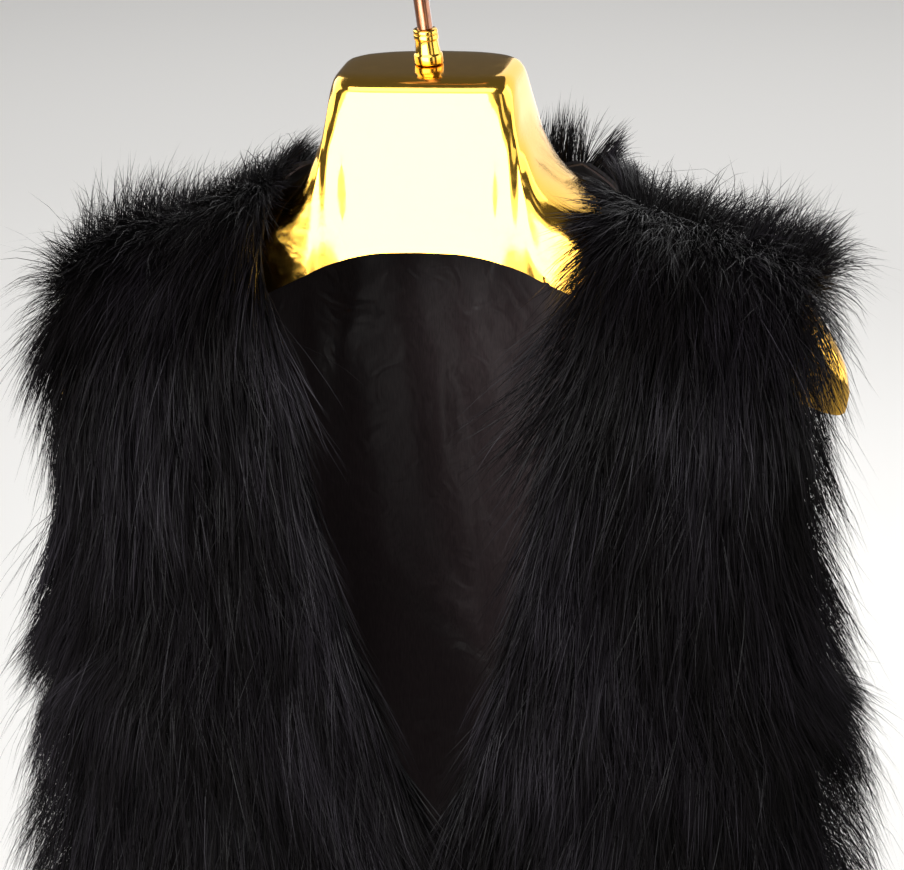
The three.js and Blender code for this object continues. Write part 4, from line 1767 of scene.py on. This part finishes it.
@dataclass(frozen=True)
class Softbox:
    """One soft lamp.

    Attributes:
        name: The lamp's name.
        azimuth: Where it stands round the vest, 0 in front, in degrees.
        elevation: How high it stands, in degrees.
        distance: How far it is, in metres.
        size: Its width and height, in metres.
        watts: Its power.
        target: What it points at, in metres.
    """

    name: str
    azimuth: float
    elevation: float
    distance: float
    size: tuple[float, float]
    watts: float
    target: tuple[float, float, float] = (0.0, 0.0, -0.3)

    def place(self, plated: list[bpy.types.Object], shows: str) -> None:
        """Sets the lamp up so that it faces its target.

        Args:
            plated: The mirror bright pieces.
            shows: INCLUDE for a lamp that only they show, EXCLUDE for one that all but they show.
        """
        a, e = math.radians(self.azimuth), math.radians(self.elevation)
        back = np.array([math.sin(a) * math.cos(e), -math.cos(a) * math.cos(e), math.sin(e)])
        lamp = bpy.data.lights.new(self.name, "AREA")
        lamp.shape = "RECTANGLE"
        lamp.size, lamp.size_y = self.size
        lamp.energy = self.watts
        holder = bpy.data.objects.new(self.name, lamp)
        bpy.context.scene.collection.objects.link(holder)
        level = [0.0, 0.0, 1.0] if self.elevation < 89 else [0.0, 1.0, 0.0]
        right = unit(np.cross(level, back))
        up = np.cross(back, right)
        spot = np.array(self.target) + back * self.distance
        rows = [[*row, s] for row, s in zip(np.stack([right, up, back], 1), spot)]
        holder.matrix_world = Matrix(rows + [[0, 0, 0, 1]])
        holder.visible_camera = False
        group = bpy.data.collections.new(f"{self.name}_plated")
        for piece in plated:
            group.objects.link(piece)
        for member in group.collection_objects:
            member.light_linking.link_state = shows
        holder.light_linking.receiver_collection = group


@dataclass(frozen=True)
class Studio:
    """The plain pale room: paper floor, soft lamps, and the camera at the photograph's angle.

    Attributes:
        floor_height: Height of the floor under the hook, in metres.
        floor_side: Side of the paper, in metres.
        air: Brightness of the even light from all round.
        camera_place: Where the camera stands, in metres.
        yaw: Its turn to the side, in degrees.
        pitch: How far it looks down, in degrees.
        roll: Its tilt, in degrees.
        lens: Its focal length over a 36 mm wide picture.
        lamps: The soft lamps.
        plating_lamps: Soft lamps that only the hanger's plating mirrors.
    """

    floor_height: float = -1.25
    floor_side: float = 24.0
    air: float = 0.15
    camera_place: tuple[float, float, float] = (0.374, -1.685, 0.423)
    yaw: float = 12.31
    pitch: float = 22.16
    roll: float = 1.5
    lens: float = 149.3
    lamps: tuple[Softbox, ...] = (
        Softbox("key_softbox", -22.0, 28.0, 2.2, (1.0, 1.0), 66.0),
        Softbox("fill_softbox", 52.0, 34.0, 2.4, (1.4, 1.4), 13.0),
        Softbox("top_softbox", -8.0, 62.0, 2.0, (1.6, 1.2), 34.0),
        Softbox("back_softbox", 168.0, 22.0, 2.3, (1.8, 1.6), 24.0),
        Softbox("floor_wash", 0.0, 90.0, 1.5, (5.0, 3.0), 42.0, (0.0, 3.2, -1.25)),
    )
    plating_lamps: tuple[Softbox, ...] = (
        Softbox("plating_front", -14.0, 5.0, 2.0, (1.9, 1.5), 90.0, HANGER_MIDDLE),
        Softbox("plating_front_wide", -14.0, 8.0, 2.1, (3.0, 2.3), 62.0, HANGER_MIDDLE),
        Softbox("plating_left", -112.0, 20.0, 1.8, (2.2, 1.4), 32.0, HANGER_MIDDLE),
        Softbox("plating_right", 150.0, 10.0, 1.8, (2.6, 2.0), 24.0, HANGER_MIDDLE),
        Softbox("plating_top", -6.0, 56.0, 2.0, (2.4, 1.2), 50.0, HANGER_MIDDLE),
        Softbox("plating_side", 100.0, 8.0, 1.9, (1.5, 1.4), 20.0, HANGER_MIDDLE),
        Softbox("plating_band", 52.0, 4.0, 2.0, (0.5, 1.4), 4.0, HANGER_MIDDLE),
    )

    def build(self, finish: bpy.types.Material, plated: list[bpy.types.Object]) -> None:
        """Lays the floor and sets up the lamps, the air and the camera.

        Args:
            finish: The floor's material.
            plated: The pieces that mirror the plating lamps.
        """
        half = self.floor_side / 2 / MM
        corners = np.array([[-half, -half, 0], [half, -half, 0], [half, half, 0], [-half, half, 0]])
        corners[:, 2] = self.floor_height / MM
        floor = mesh_piece("studio_floor", corners, [np.array([[0, 1, 2, 3]])])
        floor.data.materials.append(finish)
        for lamp in self.lamps:
            lamp.place(plated, "EXCLUDE")
        for lamp in self.plating_lamps:
            lamp.place(plated, "INCLUDE")
        world = bpy.data.worlds.new("studio_air")
        world.use_nodes = True
        world.node_tree.nodes["Background"].inputs["Color"].default_value = linear("#f2f3f5")
        world.node_tree.nodes["Background"].inputs["Strength"].default_value = self.air
        bpy.context.scene.world = world
        bpy.context.scene.view_settings.view_transform = "Standard"
        bpy.context.scene.cycles.caustics_reflective = False
        self.build_camera()

    def build_camera(self) -> None:
        """Stands the camera where the photograph was taken from."""
        yaw, pitch, roll = (math.radians(a) for a in (self.yaw, self.pitch, self.roll))
        back = np.array([math.sin(yaw) * math.cos(pitch), -math.cos(yaw) * math.cos(pitch), math.sin(pitch)])
        level = np.array([math.cos(yaw), math.sin(yaw), 0.0])
        up = np.cross(back, level)
        right = level * math.cos(roll) - up * math.sin(roll)
        top = level * math.sin(roll) + up * math.cos(roll)
        data = bpy.data.cameras.new("photo_camera")
        data.lens, data.sensor_width = self.lens, 36.0
        data.clip_start, data.clip_end = 0.05, 60.0
        camera = bpy.data.objects.new("photo_camera", data)
        bpy.context.scene.collection.objects.link(camera)
        rows = [[*row, s] for row, s in zip(np.stack([right, top, back], 1), self.camera_place)]
        camera.matrix_world = Matrix(rows + [[0, 0, 0, 1]])
        bpy.context.scene.camera = camera


def front_combings(seed: int) -> tuple[Combing, ...]:
    """Gives a front's three stretches of pile, whose seeds start at this one."""
    return (
        Combing(strands=23000, segments=4, locks=900, rows=(0.0, 0.5), seed=seed),
        Combing(strands=20000, segments=3, locks=800, rows=(0.5, 1.0), seed=seed + 1),
        Combing(strands=6000, segments=4, locks=420, rows=(0.0, 0.1), seed=seed + 2),
    )


COMBINGS: dict[Panel, tuple[Combing, ...]] = {
    Panel.FRONT_LEFT: front_combings(11),
    Panel.FRONT_RIGHT: front_combings(21),
    Panel.BACK: (
        Combing(strands=24000, segments=3, locks=900, rows=(0.0, 0.5), seed=31),
        Combing(strands=20000, segments=3, locks=900, rows=(0.5, 1.0), seed=32),
        Combing(strands=9000, segments=4, locks=640, rows=(0.0, 0.1), seed=33),
    ),
}


def main() -> None:
    """Builds the hanger, the cloths, the pile and the studio, in that order."""
    logging.basicConfig(level=logging.INFO, format="%(message)s")
    gold = GoldPlating().material()
    hanger = CoatHanger()
    plated = [
        hanger.build_body(gold),
        hanger.build_ferrule(gold),
        hanger.build_hook(CopperRod().material()),
    ]
    for piece in plated:
        LOG.info("%s: %d faces", piece.name, len(piece.data.polygons))

    cut = VestCut(hanger)
    sheets = ClothSheets(cut)
    lining = sheets.build_lining(LiningSatin().material())
    LOG.info("%s: %d faces", lining.name, len(lining.data.polygons))

    pile = FurPile(cut)
    knit, fibre = PileBacking().material(), PileFibre().material()
    for panel, combings in COMBINGS.items():
        backing = sheets.build_backing(panel, knit)
        piles = [pile.build(panel, combing, number, fibre) for number, combing in enumerate(combings, 1)]
        for piece in (backing, *piles):
            LOG.info("%s: %d faces", piece.name, len(piece.data.polygons))

    Studio().build(StudioPaper().material(), plated)


if __name__ == "__main__":
    main()
